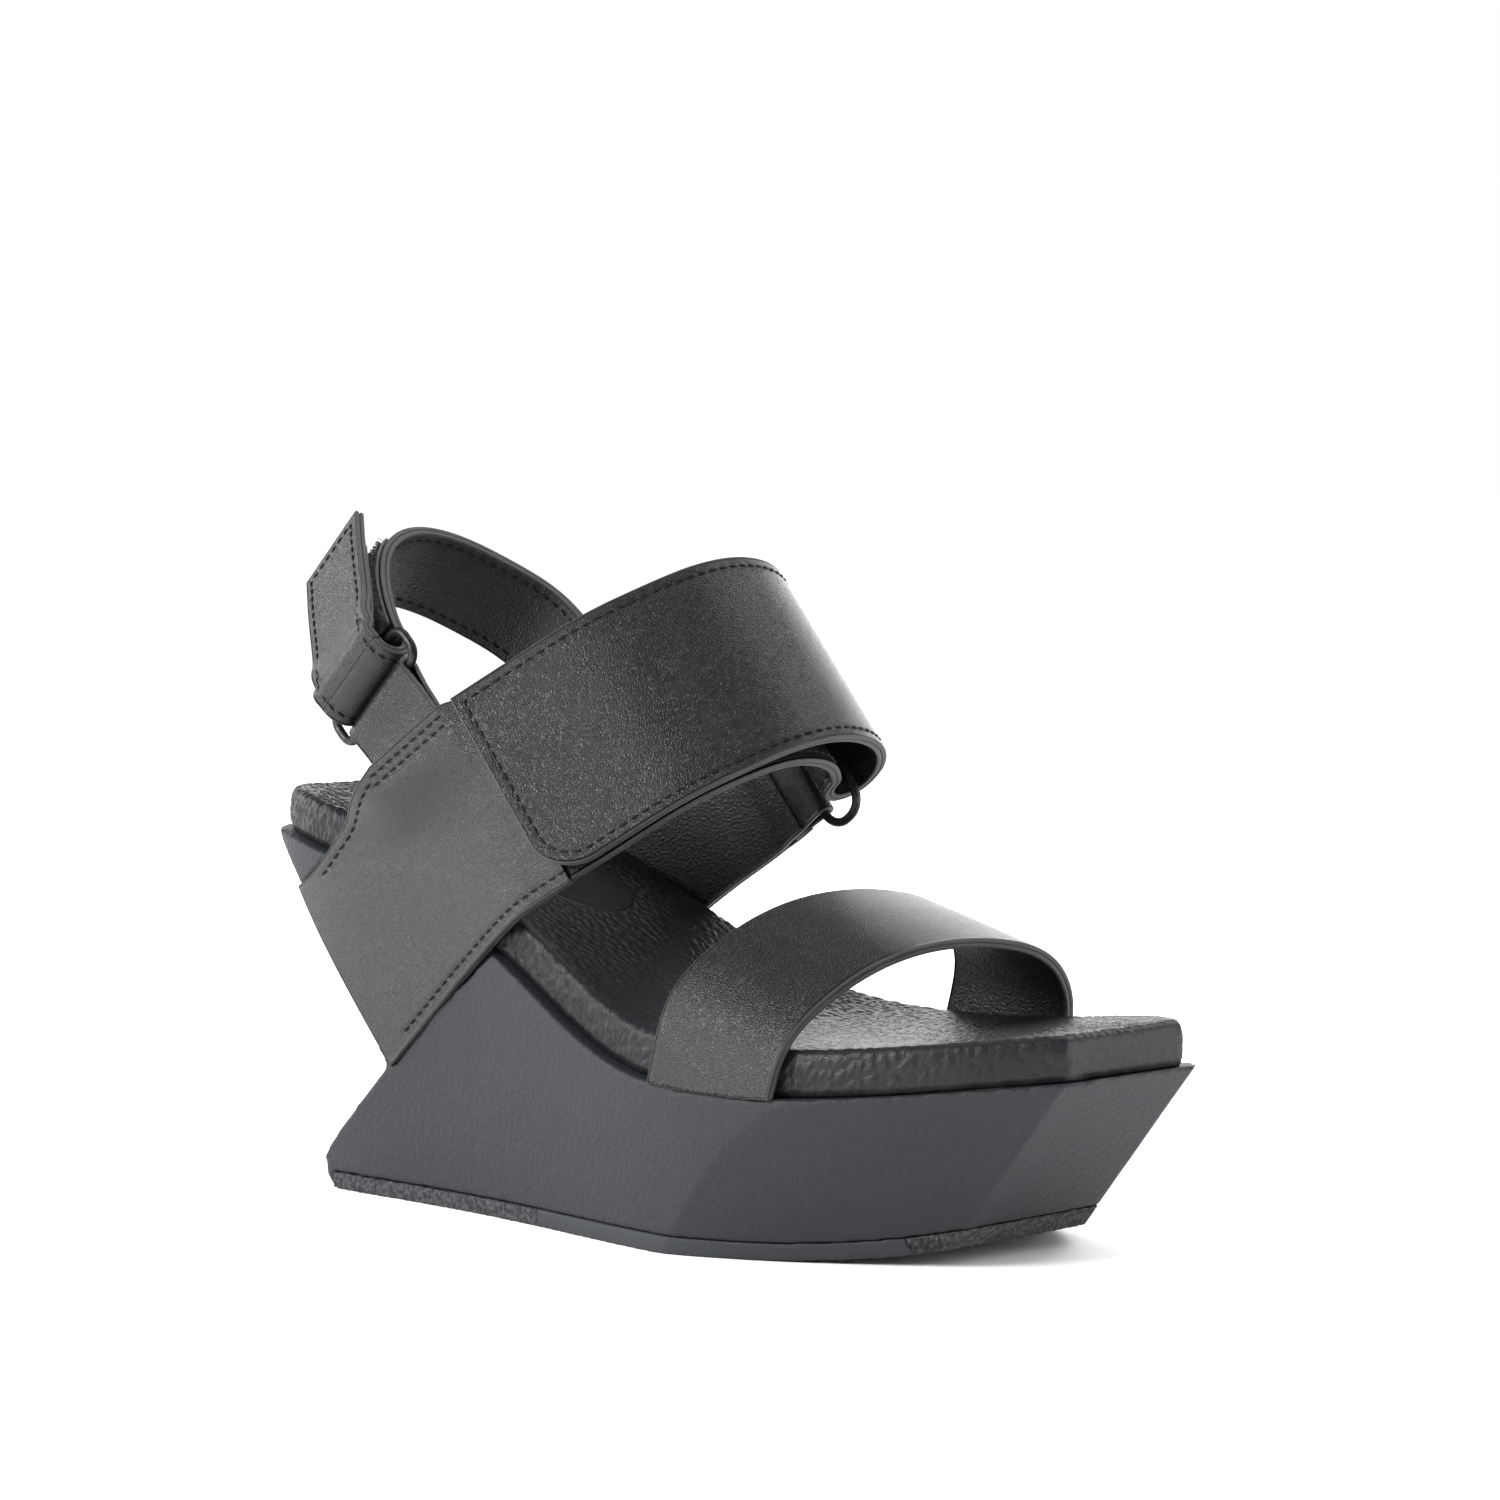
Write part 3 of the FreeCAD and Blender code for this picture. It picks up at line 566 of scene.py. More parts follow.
def ribbon_grid(ribbon, run_from, run_to, margin=ROUND, step=FINE, low=None, extra=()):
    """Grid of flat coordinates, a margin inside both edges; low gives another lower edge."""
    runs = np.linspace(run_from, run_to, max(3, int((run_to - run_from) / step)))
    runs = np.unique(np.concatenate([runs, extra]))
    share = np.linspace(0, 1, max(4, int(ribbon.strap.width / step)))
    lows = low(runs) if low else np.full(len(runs), margin)
    highs = ribbon.strap.width - margin
    return (np.repeat(runs[:, None], len(share), 1),
            lows[:, None] + (highs - lows)[:, None] * share)


def groove(run, along, lines, depth=0.16, width=0.55):
    """Relief where the thread pulls the leather in."""
    relief = np.zeros(run.shape)
    for line in lines:
        relief -= depth * np.exp(-(distance_to_line(run, along, np.array(line)) / width) ** 2)
    return relief


def half_turn(centre, radius, side, step=0.4):
    """From the foot side of a ring's bar, round behind it, to the outside."""
    angles = np.linspace(0, math.pi, max(8, int(math.pi * radius / step)))
    return np.stack([centre[0] - radius * np.sin(angles),
                     centre[1] - side * radius * np.cos(angles)], 1)


# Materials (front, back, rim, front past the turn) and slot of the two layers of leather.
LAYERS = {"outer": ((STRAP, STRAP, EDGE), "strap_leather"),
          "lining": ((LINING, LINING, EDGE, STRAP), "lining_leather")}


def ribbon_panel(node, kind, ribbon, run, along, length, lines=(), sway=0.0, end=None, **edges):
    """One layer of a strap; end names the folded end that it belongs to, if any."""
    looks, slot = LAYERS[kind]
    piece = panel(node + "_leather", ribbon.mid(run, along), np.stack([run, along], -1),
                  ribbon.facing, looks, relief=groove(run, along, lines), sway=sway, **edges)
    if end:
        flap_piece(piece, end, node)
    else:
        finish_piece(piece, node)


# Tilt of each strap's plane, where its lower edge lies, its width and its turn about Z.
INSTEP = Strap(39.0, 63.0, 52.0)
ANKLE = Strap(135.0, -51.5, 25.0)
TOE = Strap(75.0, -59.0, 34.5, yaw=-5.0, pivot=71.0)

# Middle of each strap's turn round its ring's bar (rise, level) and its radius, and the route of
# the standing part and of the folded end.
INSTEP_LOOP_CENTRE, INSTEP_LOOP = (79.0, 34.0), 6.0
INSTEP_STANDING = [(48.2, -34.5), (56.7, -28.9), (66.7, -23.2), (75, -17.5), (84, -7),
                   (88.5, 3), (88.6, 12), (85, 22), (81, 26.8)]
INSTEP_FLAP = [(82, 39.7), (86, 38), (90.5, 34), (96.5, 22), (97.6, 11), (94.5, 0),
               (88, -9.5), (77, -21.5), (67, -28.2), (47, -40)]
ANKLE_BAR, ANKLE_LOOP = (136.5, -36.0), 4.5
ANKLE_STANDING = [(113, 31.5), (132, 31.3), (148, 29), (160, 19), (168.5, 7), (170.8, -4),
                  (166, -16), (156, -24.5), (144, -30.0)]
# Creases across the ankle strap's folded end: height, place along it and spread.
ANKLE_CREASES = [(0.45, 3.0, 1.6), (-0.75, 6.6, 1.7), (0.45, 11.2, 2.8)]
ANKLE_FLAP = [(140.5, -40.3), (145.5, -37.4), (151, -33.9), (163, -27.3), (177, -19)]
TOE_ARCH = [(42, -45.3), (54, -45.3), (65, -43.4), (76, -32.5), (83, -17), (85.6, 3),
            (84, 21), (78, 37), (67, 45), (56, 45.6), (42, 45.6)]
# How much of the lining shows past each turn, in radii of the turn.
INSTEP_LINING_SHOWS, ANKLE_LINING_SHOWS = 4.2, 4.0
OUTER_MID = (GAP + LEATHER) / 2
LINING_MID = LEATHER / 2


def standing_curve(points, centre, radius, side):
    """A standing part's path: smooth to the ring, then round its bar."""
    meet = (centre[0], centre[1] - side * radius)
    lead = unit(np.array(points[1], float) - np.array(points[0], float))
    run = bend_through(points + [meet], lead, (-1, 0))
    return np.concatenate([run[:-1], half_turn(centre, radius, side)])


# Body of each folded end, and where the bend at its ring starts and stops: rise and level.
FLAP_BEND = {"instep": (INSTEP, "instep_end", (79.4, 40.2), (80.0, 30.0)),
             "ankle": (ANKLE, "ankle_end", (137.0, -41.0), (147.0, -41.0))}


def flap_piece(piece, end, node=None):
    """A piece on a strap's folded end, its place baked into its points; node is the CAD piece that
    it stands for.
    """
    strap, body, *bend = FLAP_BEND[end]
    start, stop = (tuple(strap.place(np.array(spot), strap.width / 2) * MM) for spot in bend)
    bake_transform(piece)
    if node:
        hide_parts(node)


def standing_part(stem, strap, path, side, seam_start, turned, slopes=None, clear=0.0):
    """The part of a folded strap that goes round the foot and round its ring's bar.

    turned is the length of lining that shows past the turn, slopes say how each layer's start is
    cut (how far in, and how much further at the other edge) and clear is how much of the outer
    layer's end has no thread, because the swinging ring would touch it.
    """
    layers = {"outer": Ribbon(strap, path, side * OUTER_MID, side),
              "lining": Ribbon(strap, path, -side * LINING_MID, -side)}
    length, levels = layers["outer"].length, (STITCH_INSET, strap.width - STITCH_INSET)
    seams = [[(seam_start, level), (length, level)] for level in levels]
    rows = [layers["outer"].line([(seam_start, level), (length - clear, level)])
            for level in levels]
    rows += [layers["lining"].line(seam) for seam in seams]
    for kind, ribbon in layers.items():
        run, along = ribbon_grid(ribbon, 0, length)
        if slopes:
            start = slopes[kind][0] + along / strap.width * slopes[kind][1]
            run = start + run * (length - start) / length
        ribbon_panel("%s_strap_%s" % (stem, kind), kind, ribbon, run, along, length, seams,
                     turned=length - turned if kind == "lining" else None,
                     butts=("start", "end"))
    finish_piece(stitches(stem + "_strap_stitches", rows))


def folded_end(stem, strap, path, side, seam, thread_height, creases=(), **outline):
    """The part of a folded strap past its ring: two layers, their seam and their creases."""
    layers = {"outer": Ribbon(strap, path, -side * OUTER_MID, -side),
              "lining": Ribbon(strap, path, side * LINING_MID, side)}
    length = layers["outer"].length
    for kind, ribbon in layers.items():
        run, along = ribbon_grid(ribbon, 0, length - ROUND, **outline)
        waver = 0.35 * swell(along, run, 9.0, 11)
        folds = sum(height * np.exp(-((run - place - waver) / spread) ** 2)
                    for height, place, spread in creases)
        ribbon_panel("%s_flap_%s" % (stem, kind), kind, ribbon, run, along, length, [seam],
                     end=stem, sway=folds if kind == "outer" else -folds, butts=("start",))
    thread = stitches(stem + "_flap_stitches", [layers["outer"].line(seam, thread_height)])
    flap_piece(thread, stem)


def instep_strap():
    """Wide strap whose folded end has one rounded corner."""
    path = standing_curve(INSTEP_STANDING, INSTEP_LOOP_CENTRE, INSTEP_LOOP, 1)
    standing_part("instep", INSTEP, path, -1, 1.0, INSTEP_LOOP * INSTEP_LINING_SHOWS)

    rise, level = INSTEP_LOOP_CENTRE
    flap_path = bend_through([(rise, level + INSTEP_LOOP)] + INSTEP_FLAP)
    end, width, corner = lengths(flap_path)[-1], INSTEP.width, 12.0

    def low(run):
        reach = np.clip(run - (end - corner), 0, corner)
        return ROUND + corner - np.sqrt(corner ** 2 - reach ** 2)

    turn = np.linspace(0, math.pi / 2, 22)
    extra = end - corner + corner * np.sin(turn)
    arc = [(end - corner + corner * math.sin(a), corner - corner * math.cos(a)) for a in turn]
    seam = inset([(0, 0)] + arc + [(end, width), (0, width)], STITCH_INSET)
    folded_end("instep", INSTEP, flap_path, -1, seam, LEATHER / 2 - 0.02, low=low,
               extra=extra[extra < end - ROUND])
    pads("instep", INSTEP, path, flap_path, -1, (54.0, 76.0), 3.5)


def ankle_strap():
    """Narrow strap round the heel: its start is cut on a slope, its folded end is creased."""
    path = standing_curve(ANKLE_STANDING, ANKLE_BAR, ANKLE_LOOP, -1)
    standing_part("ankle", ANKLE, path, 1, 3.0, ANKLE_LOOP * ANKLE_LINING_SHOWS,
                  {"outer": (0.0, 4.0), "lining": (3.0, 5.0)}, ANKLE_LOOP * math.pi + 2.0)

    rise, level = ANKLE_BAR
    flap_path = bend_through([(rise, level - ANKLE_LOOP)] + ANKLE_FLAP)
    end, width = lengths(flap_path)[-1], ANKLE.width
    seam = inset([(0, width), (end, width), (end, 0), (0, 0)], -STITCH_INSET)
    folded_end("ankle", ANKLE, flap_path, 1, seam, LEATHER / 2, ANKLE_CREASES)
    pads("ankle", ANKLE, path, flap_path, 1, (141.0, 167.5), 1.2)


# A loop of the closure's pile: half thickness, sections (sideways and up, as shares of its width
# and height) and how far its feet stay from the tape's edge.
PILE_HALF = 0.07
PILE_ARCH = [(-0.5, -0.1), (-0.42, 0.6), (0.0, 1.0), (0.42, 0.6), (0.5, -0.1)]
PILE_MARGIN = 0.3


def pile(ribbon, run, along, height, count, seed):
    """Short loops standing on a face: thin three-sided arches."""
    source = np.random.default_rng(seed)
    runs = source.uniform(run.min() + PILE_MARGIN, run.max() - PILE_MARGIN, count)
    alongs = source.uniform(along.min() + PILE_MARGIN, along.max() - PILE_MARGIN, count)
    foot = ribbon.mid(runs, alongs)
    ahead = unit(ribbon.ahead(runs, alongs))
    axis = np.broadcast_to(ribbon.strap.axis, ahead.shape)
    up = unit(np.cross(ahead, axis)) * ribbon.facing
    angle = source.uniform(0, math.pi, count)[:, None]
    lean = np.cos(angle) * ahead + np.sin(angle) * axis
    tall = source.uniform(0.55, 1.25, count)[:, None] * height
    wide = source.uniform(0.35, 0.8, count)[:, None]
    points = []
    for sideways, upward in PILE_ARCH:
        core = foot + lean * wide * sideways + up * (tall * upward)
        points += [core + PILE_HALF * (math.cos(a) * np.cross(lean, up) + math.sin(a) * up)
                   for a in (0, 2.1, 4.2)]
    return np.stack(points, 1).reshape(-1, 3), tube_faces(count, len(PILE_ARCH), 3)


# The two sides of a closure: material, slot, height of the pile and loops per square millimetre.
CLOSURE = {"loop": (PILE, "loop_fabric", 1.25, 3.4), "hook": (HOOKS, "hook_fabric", 0.7, 2.4)}
TAPE = 0.8


def pads(stem, strap, standing_path, flap_path, side, rises, margin):
    """Loop side on the standing part and hook side under the folded end."""
    for kind, path in (("loop", standing_path), ("hook", flap_path)):
        look, slot, height, density = CLOSURE[kind]
        offset = side * (LEATHER + GAP + TAPE / 2)
        ribbon = Ribbon(strap, path, offset, side)
        inside = (path[:, 0] > rises[0]) & (path[:, 0] < rises[1]) & (path[:, 1] < 0)
        runs = ribbon.run[inside]
        run, along = ribbon_grid(ribbon, runs.min(), runs.max(), margin, 0.8)
        node = "%s_%s_pad" % (stem, kind)
        tape = panel(node + "_tape", ribbon.mid(run, along), np.stack([run, along], -1),
                     ribbon.facing, [look] * 3, TAPE, relief=0.12 * swell(run, along, 1.1, 7))
        face = Ribbon(strap, path, offset + side * TAPE / 2, side)
        area = (run.max() - run.min()) * (strap.width - 2 * margin)
        loops = mesh_object(node + "_pile", *pile(face, run, along, height, int(area * density),
                                                  3 + len(kind) + len(stem)), [look])
        for piece, stands_for in ((tape, node), (loops, None)):
            if kind == "loop":
                finish_piece(piece, stands_for)
            else:
                flap_piece(piece, stem, stands_for)


def toe_strap():
    """A plain arch whose ends go down behind the wedge's rim."""
    path = bend_through(TOE_ARCH)
    share = np.linspace(0, 1, int(TOE.width / FINE))
    along = ROUND + (TOE.width - 2 * ROUND) * share
    for kind, offset, side in (("outer", -OUTER_MID, -1), ("lining", LINING_MID, 1)):
        ribbon = Ribbon(TOE, path, offset, side)
        ends = []
        for level in along:
            spots = ribbon.mid(ribbon.run, np.full(len(ribbon.run), level))
            seen = ribbon.run[spots[:, 2] > rim_height(spots[:, 0]) + 0.1]
            ends.append((seen.min(), seen.max()))
        starts, stops = np.array(ends).T
        part = np.linspace(0, 1, int(ribbon.length / FINE))[:, None]
        run = starts * (1 - part) + stops * part
        levels = np.repeat(along[None], len(part), 0)
        ribbon_panel("toe_strap_" + kind, kind, ribbon, run, levels, np.mean(stops - starts),
                     sway=0.12 * swell(run, levels, 24.0, 4))


# ---------------------------------------------------------------- sole unit and quarters

# The wedge's plan, from the lateral toe corner round the heel to the medial one, and the height
# of its rim along X.
SIDES = [(127, -17.6), (84, -41), (48, -46.7), (15, -43.2), (-20, -37), (-60, -33.2),
         (-103, -27.4), (-120, -17), (-127.5, 0), (-120, 17), (-103, 27.4), (-60, 31.6),
         (-20, 31.8), (15, 39.3), (50, 46.8), (78, 46.2), (107, 41), (131.2, 21.2)]
RIM_LINE = [(-150, 84.5), (-128, 84.6), (-105, 83), (-80, 78), (-50, 70), (-25, 59.5),
            (0, 46.8), (20, 39.5), (45, 36.5), (75, 37.3), (100, 39.7), (128, 43), (150, 46)]
PLAN = bend_through(SIDES)
RIM = bend_through(RIM_LINE)
# Ledge of the wedge round the footbed, and how far the quarters stand out of its wall.
LEDGE = 3.3
PROUD = 0.6
FOOTBED_THICK = 10.3


def wall_level(x, side):
    """Y of the wedge's wall at x."""
    turn = int(np.argmin(PLAN[:, 0]))
    branch = PLAN[:turn + 1][::-1] if side < 0 else PLAN[turn:]
    return np.interp(x, branch[:, 0], branch[:, 1])


def rim_height(x):
    """Z of the wedge's rim at x."""
    return np.interp(x, RIM[:, 0], RIM[:, 1])


def smooth_step(t):
    t = np.clip(t, 0, 1)
    return t * t * (3 - 2 * t)


# Corners of the quarters in side view (X, Z): the notch, the heel, and the ankle strap's seam.
NOTCH = (-63.8, 31.9)
HEEL_TOP = (-100.3, 71.4)
SEAM_BACK = (-65.3, 102.0)
SEAM_FRONT = (-41.5, 117.5)
# Way along the ankle strap's seam.
SEAM_WAY = np.array((24.0, 15.5)) / 28.6
# The quarter lies on the wall up to LIES_OVER above the rim and then leaves it over LEAVES_OVER;
# over JOIN_REACH from the instep strap it comes to the strap's own level.
LIES_OVER = 7
LEAVES_OVER = 16
JOIN_REACH = 26
# Y of each quarter where it meets the instep strap, and of the lateral one at the ankle tab.
JOIN_LEVEL = {"lateral": -34.5, "medial": 34.0}
ANKLE_TAB_LEVEL = -36.2


def instep_point(rise, along):
    """Side view place of a point given on the instep strap's plane."""
    return rise * INSTEP.rise[[0, 2]] + along * INSTEP.axis[[0, 2]]


def coons(bottom, upper, left, right):
    """A grid of points between four edge lines."""
    u = np.linspace(0, 1, len(bottom))[:, None, None]
    v = np.linspace(0, 1, len(left))[None, :, None]
    return ((1 - v) * bottom[:, None] + v * upper[:, None] + (1 - u) * left[None]
            + u * right[None]
            - ((1 - u) * (1 - v) * bottom[0] + u * (1 - v) * bottom[-1]
               + (1 - u) * v * upper[0] + u * v * upper[-1]))


def quarter(side_name, join):
    """A leather panel over the wedge's side: a patch between four edges, in side view."""
    lateral = side_name == "lateral"
    side = -1 if lateral else 1
    top, low = instep_point(join, 115.0), instep_point(join, 63.0)
    heel_edge = sharp([NOTCH, HEEL_TOP], 0.7)
    crown = bend_through([HEEL_TOP, (-95, 74), (-88.5, 79), (-78.5, 88.5), SEAM_BACK])
    crown = np.concatenate([crown, sharp([SEAM_BACK, SEAM_FRONT, top], 0.5)[1:]])
    join_edge = sharp([low, top], 0.7)
    front = bend_through([NOTCH, (-47.5, 46.3), (-31, 60.2), (-17, 70.5), low])
    rows, columns = 170, 110
    flat = coons(spaced(front, rows), spaced(crown, rows), spaced(heel_edge, columns),
                 spaced(join_edge, columns))

    def surface(x, z, layer):
        """layer is how far the middle of the leather lies outside the panel's own middle."""
        above = smooth_step((z - rim_height(x) - LIES_OVER) / LEAVES_OVER)
        to_join = join - (x * INSTEP.rise[0] + z * INSTEP.rise[2])
        near_join = smooth_step(1 - to_join / JOIN_REACH) * above
        level = wall_level(x, side) + side * (PROUD - LEATHER)
        level = level + (JOIN_LEVEL[side_name] - level) * near_join
        if lateral:
            to_seam = (x - SEAM_BACK[0]) * SEAM_WAY[1] - (z - SEAM_BACK[1]) * SEAM_WAY[0]
            apart = smooth_step(1.4 - to_seam / 15) * above * smooth_step((to_join - 2) / 7)
            level = level + (ANKLE_TAB_LEVEL - level) * apart
        else:
            apart = smooth_step(1.6 - to_join / 6)
        # The layers part where a tab or the strap's own layers lie between them.
        spread = layer * (1 + 1.25 * apart)
        soft = 0.2 * swell(x, z, 21.0, 9) * above * (1 - near_join)
        return np.stack([x, level + side * (soft + spread), z], -1)

    seam_line = sharp([(-66.6, 101.2), (-42.2, 117.0)], 1.0) if lateral else join_edge
    back_seam = evenly(crown, 1.5)
    back_seam = back_seam[(back_seam[:, 0] > -92) & (back_seam[:, 0] < -66.5)]
    seams = [inset(evenly(front, 1.5)[6:], STITCH_INSET), inset(back_seam[::-1], STITCH_INSET),
             inset(seam_line, 2.0 * side), inset(seam_line, 4.4 * side)]
    half = LEATHER / 2 + 0.03
    x, z = flat[..., 0], flat[..., 1]
    for kind, layer, facing in (("outer", half, -side), ("lining", -half, side)):
        looks, slot = LAYERS[kind]
        relief = groove(x, z, seams, 0.2, 0.6) if kind == "outer" else 0.0
        node = "%s_quarter_%s" % (side_name, kind)
        piece = panel(node + "_leather", surface(x, z, layer), flat, facing, looks,
                      relief=relief, butts=("end",))
        finish_piece(piece, node)
    rows_made = []
    for seam in seams:
        line = evenly(seam, 0.5)
        spot = surface(line[:, 0], line[:, 1], half)
        spot[:, 1] += side * (LEATHER / 2 - 0.03)
        rows_made.append((spot, np.tile([0.0, side, 0.0], (len(line), 1))))
    finish_piece(stitches("%s_quarter_stitches" % side_name, rows_made))


# Radius of a tab's loop round the ring's bar, and how far from the bar its two legs part.
TAB_LOOP = 1.35
TAB_NECK = 7.0


def tab(stem, strap, root, bar):
    """A folded strip that comes out from under the quarter and holds a ring's bar."""
    root, bar = np.array(root, float), np.array(bar, float)
    ahead = unit(bar - root)
    aside = np.array([-ahead[1], ahead[0]]) * TAB_LOOP
    angles = np.linspace(math.pi / 2, -math.pi / 2, 18)[:, None]
    turn = bar + TAB_LOOP * np.cos(angles) * ahead + np.sin(angles) * aside
    near = bar - ahead * TAB_NECK
    out_leg = sharp([root + aside * 0.04, near + aside * 0.25, bar + aside], 0.5)
    back_leg = sharp([bar - aside, near - aside * 0.25, root - aside * 0.04], 0.5)
    path = evenly(np.concatenate([out_leg[:-1], turn, back_leg[1:]]), 0.35)
    ribbon = Ribbon(strap, path, LEATHER / 2, 1)
    run, along = ribbon_grid(ribbon, 0, ribbon.length)
    ribbon_panel(stem, "outer", ribbon, run, along, ribbon.length,
                 sway=0.12 * swell(run, along, 6.0, 13))


# ---------------------------------------------------------------- footbed


def rounded_outline(line, corners, radius, step):
    """A closed outline with its sharp corners rounded."""
    closed = evenly(np.concatenate([line, line[:1]]), step)[:-1]
    smooth = closed.copy()
    for _ in range(int(radius / step) ** 2 // 2 + 4):
        smooth = (np.roll(smooth, 1, 0) + 2 * smooth + np.roll(smooth, -1, 0)) / 4
    out = closed.copy()
    for corner in corners:
        near = np.linalg.norm(closed - corner, axis=1)
        weight = np.clip(1.6 - near / radius, 0, 1)[:, None]
        out = out * (1 - weight) + smooth * weight
    return out


def inward_plan(margin):
    """The wedge's plan drawn in by a margin, its straight toe edge too, and the two corners."""
    beside = PLAN - left_of(PLAN) * margin
    corner, tip = np.array(SIDES[0]), np.array(SIDES[-1])
    ahead = unit(tip - corner)
    back = np.array([-ahead[1], ahead[0]])
    kept = beside[(beside - corner) @ back > margin]
    ends = [end - back * ((end - corner) @ back - margin) for end in (kept[0], kept[-1])]
    return np.concatenate([[ends[0]], kept, [ends[1]]]), ends


def cushion(name, outline, spine, base, top, profile, relief, step, material):
    """A closed soft body over a plan outline: rings drawn in from the edge to a spine.

    profile runs up the side wall, each place a depth inward and a share of the height.
    """
    to_spine = spine - outline
    reach = np.linalg.norm(to_spine, axis=1)
    inward = to_spine / reach[:, None]

    def ring(depth, share):
        """One ring at a depth inward and a share of the height."""
        spot = outline + inward * np.reshape(depth, (-1, 1))
        return np.column_stack([spot, base(spot) + share * (top(spot) - base(spot))])

    rings = [ring(depth, share) for depth, share in profile]
    edge = profile[-1][0]
    count = int(reach.max() / step)
    rings += [ring(edge + (reach - edge) * (k / count), 1.0) for k in range(1, count + 1)]
    grid = np.array(rings)
    normal = unit(np.cross(np.roll(grid, -1, 1) - np.roll(grid, 1, 1), np.gradient(grid, axis=0)))
    if normal[-2, :, 2].mean() < 0:
        normal = -normal
    grid = grid + normal * relief(grid, len(profile), normal)[..., None]
    start, low_share = profile[0]
    under = 8
    below = [ring(start + (reach - start) * (k / under), low_share) for k in range(1, under + 1)]
    points = np.concatenate([grid, below])
    number = np.arange(len(points) * len(outline)).reshape(len(points), -1)
    number = np.concatenate([number, number[:, :1]], 1)
    faces = np.concatenate([quads(number[:len(grid)]),
                            quads(number[[0, *range(len(grid), len(points))]])[:, ::-1]])
    piece = mesh_object(name, points.reshape(-1, 3), faces, [material])
    tidy_mesh(piece.data)
    return piece


def tidy_mesh(mesh):
    """Joins points that coincide and turns every face outward."""
    work = bmesh.new()
    work.from_mesh(mesh)
    bmesh.ops.remove_doubles(work, verts=work.verts, dist=0.02 * MM)
    bmesh.ops.dissolve_degenerate(work, edges=work.edges, dist=0.001 * MM)
    bmesh.ops.recalc_face_normals(work, faces=work.faces)
    work.to_mesh(mesh)
    work.free()
    smooth_shaded(mesh)


# The footbed: how far it stays inside the ledge, the spacing of its outline and of its rings,
# and the share of its height taken by the rounded upper edge.
FOOTBED_ROOM = 0.25
FOOTBED_STEP = 0.55
FOOTBED_RINGS = 0.62
FOOTBED_EDGE = 0.26
FOOTBED_HOLLOW = 0.9


def footbed_top(spot):
    """Z of the footbed's upper face: parallel to the rim, a little hollow across."""
    x, y = spot[..., 0], spot[..., 1]
    half = (wall_level(x, 1) - wall_level(x, -1)) / 2 - LEDGE
    share = np.clip(np.abs(y - 0.5) / np.maximum(half, 8), 0, 1)
    lean = np.interp(x, RIM[:, 0], np.gradient(RIM[:, 1], RIM[:, 0]))
    hollow = FOOTBED_HOLLOW * (1 - share ** 2) * np.clip((60 - x) / 80, 0.35, 1)
    return rim_height(x) + FOOTBED_THICK * np.sqrt(1 + lean ** 2) - hollow


def footbed_grain(grid, rim_rings, normal):
    """Pebbled on top, wrinkled where the cover is drawn down the side."""
    x, y, z = grid[..., 0], grid[..., 1], grid[..., 2]
    around = np.broadcast_to(np.arange(grid.shape[1]) * FOOTBED_STEP, grid.shape[:2])
    upright = np.clip(1 - np.abs(normal[..., 2]) * 1.3, 0, 1)
    top_cells = pebbles(x * 0.8, y, 2.2, 31) * 0.34 + pebbles(x, y, 1.2, 33) * 0.1
    wear = 0.7 + 0.3 * swell(x, y, 26.0, 35)
    lift = z - rim_height(x)
    wrinkles = pebbles(around + 0.5 * lift, lift * 0.45, 1.9, 41) * 0.55
    calm = 0.35 + 0.65 * np.clip((112 - x) / 30, 0, 1)
    seat = np.clip((np.arange(len(grid))[:, None] - 1) / 4, 0, 1)
    return ((1 - upright) * (top_cells * wear) + upright * (wrinkles - 0.25) * calm) * seat


def footbed():
    """The leather cover of the cushion, swelling a little over the wedge's ledge."""
    line, corners = inward_plan(LEDGE - FOOTBED_ROOM)
    outline = rounded_outline(line, corners, 3.0, FOOTBED_STEP)
    spine = np.column_stack([np.clip(outline[:, 0] * 0.97, -92, 98), np.zeros(len(outline))])
    profile = [(1.2, 0.0), (0.45, 0.01), (0.12, 0.05), (-0.1, 0.14)]
    profile += [(-0.25 - 0.12 * math.sin(math.pi * t), 0.14 + 0.56 * t)
                for t in np.linspace(0.05, 0.95, 12)]
    profile += [(2.3 - 2.4 * math.cos(a), 1 - FOOTBED_EDGE + FOOTBED_EDGE * math.sin(a))
                for a in np.linspace(0.05, math.pi / 2 - 0.02, 7)]
    piece = cushion("footbed_cover_leather", outline, spine,
                    lambda spot: rim_height(spot[..., 0]) + 0.06, footbed_top, profile,
                    footbed_grain, FOOTBED_RINGS, FOOTBED)
    finish_piece(piece, "footbed_cover")


# The patch: half its width, and X where its rounded front and rear ends start.
PATCH_HALF = 14.0
PATCH_FRONT = -35.0
PATCH_REAR = -72.0


def patch_grain(grid, rim_rings, normal):
    """Nearly smooth, with a line pressed in beside the edge."""
    ring = np.arange(len(grid))[:, None]
    border_line = -0.12 * np.exp(-((ring - rim_rings - 1.5) / 0.8) ** 2)
    return 0.03 * swell(grid[..., 0], grid[..., 1], 3.0, 51) + border_line


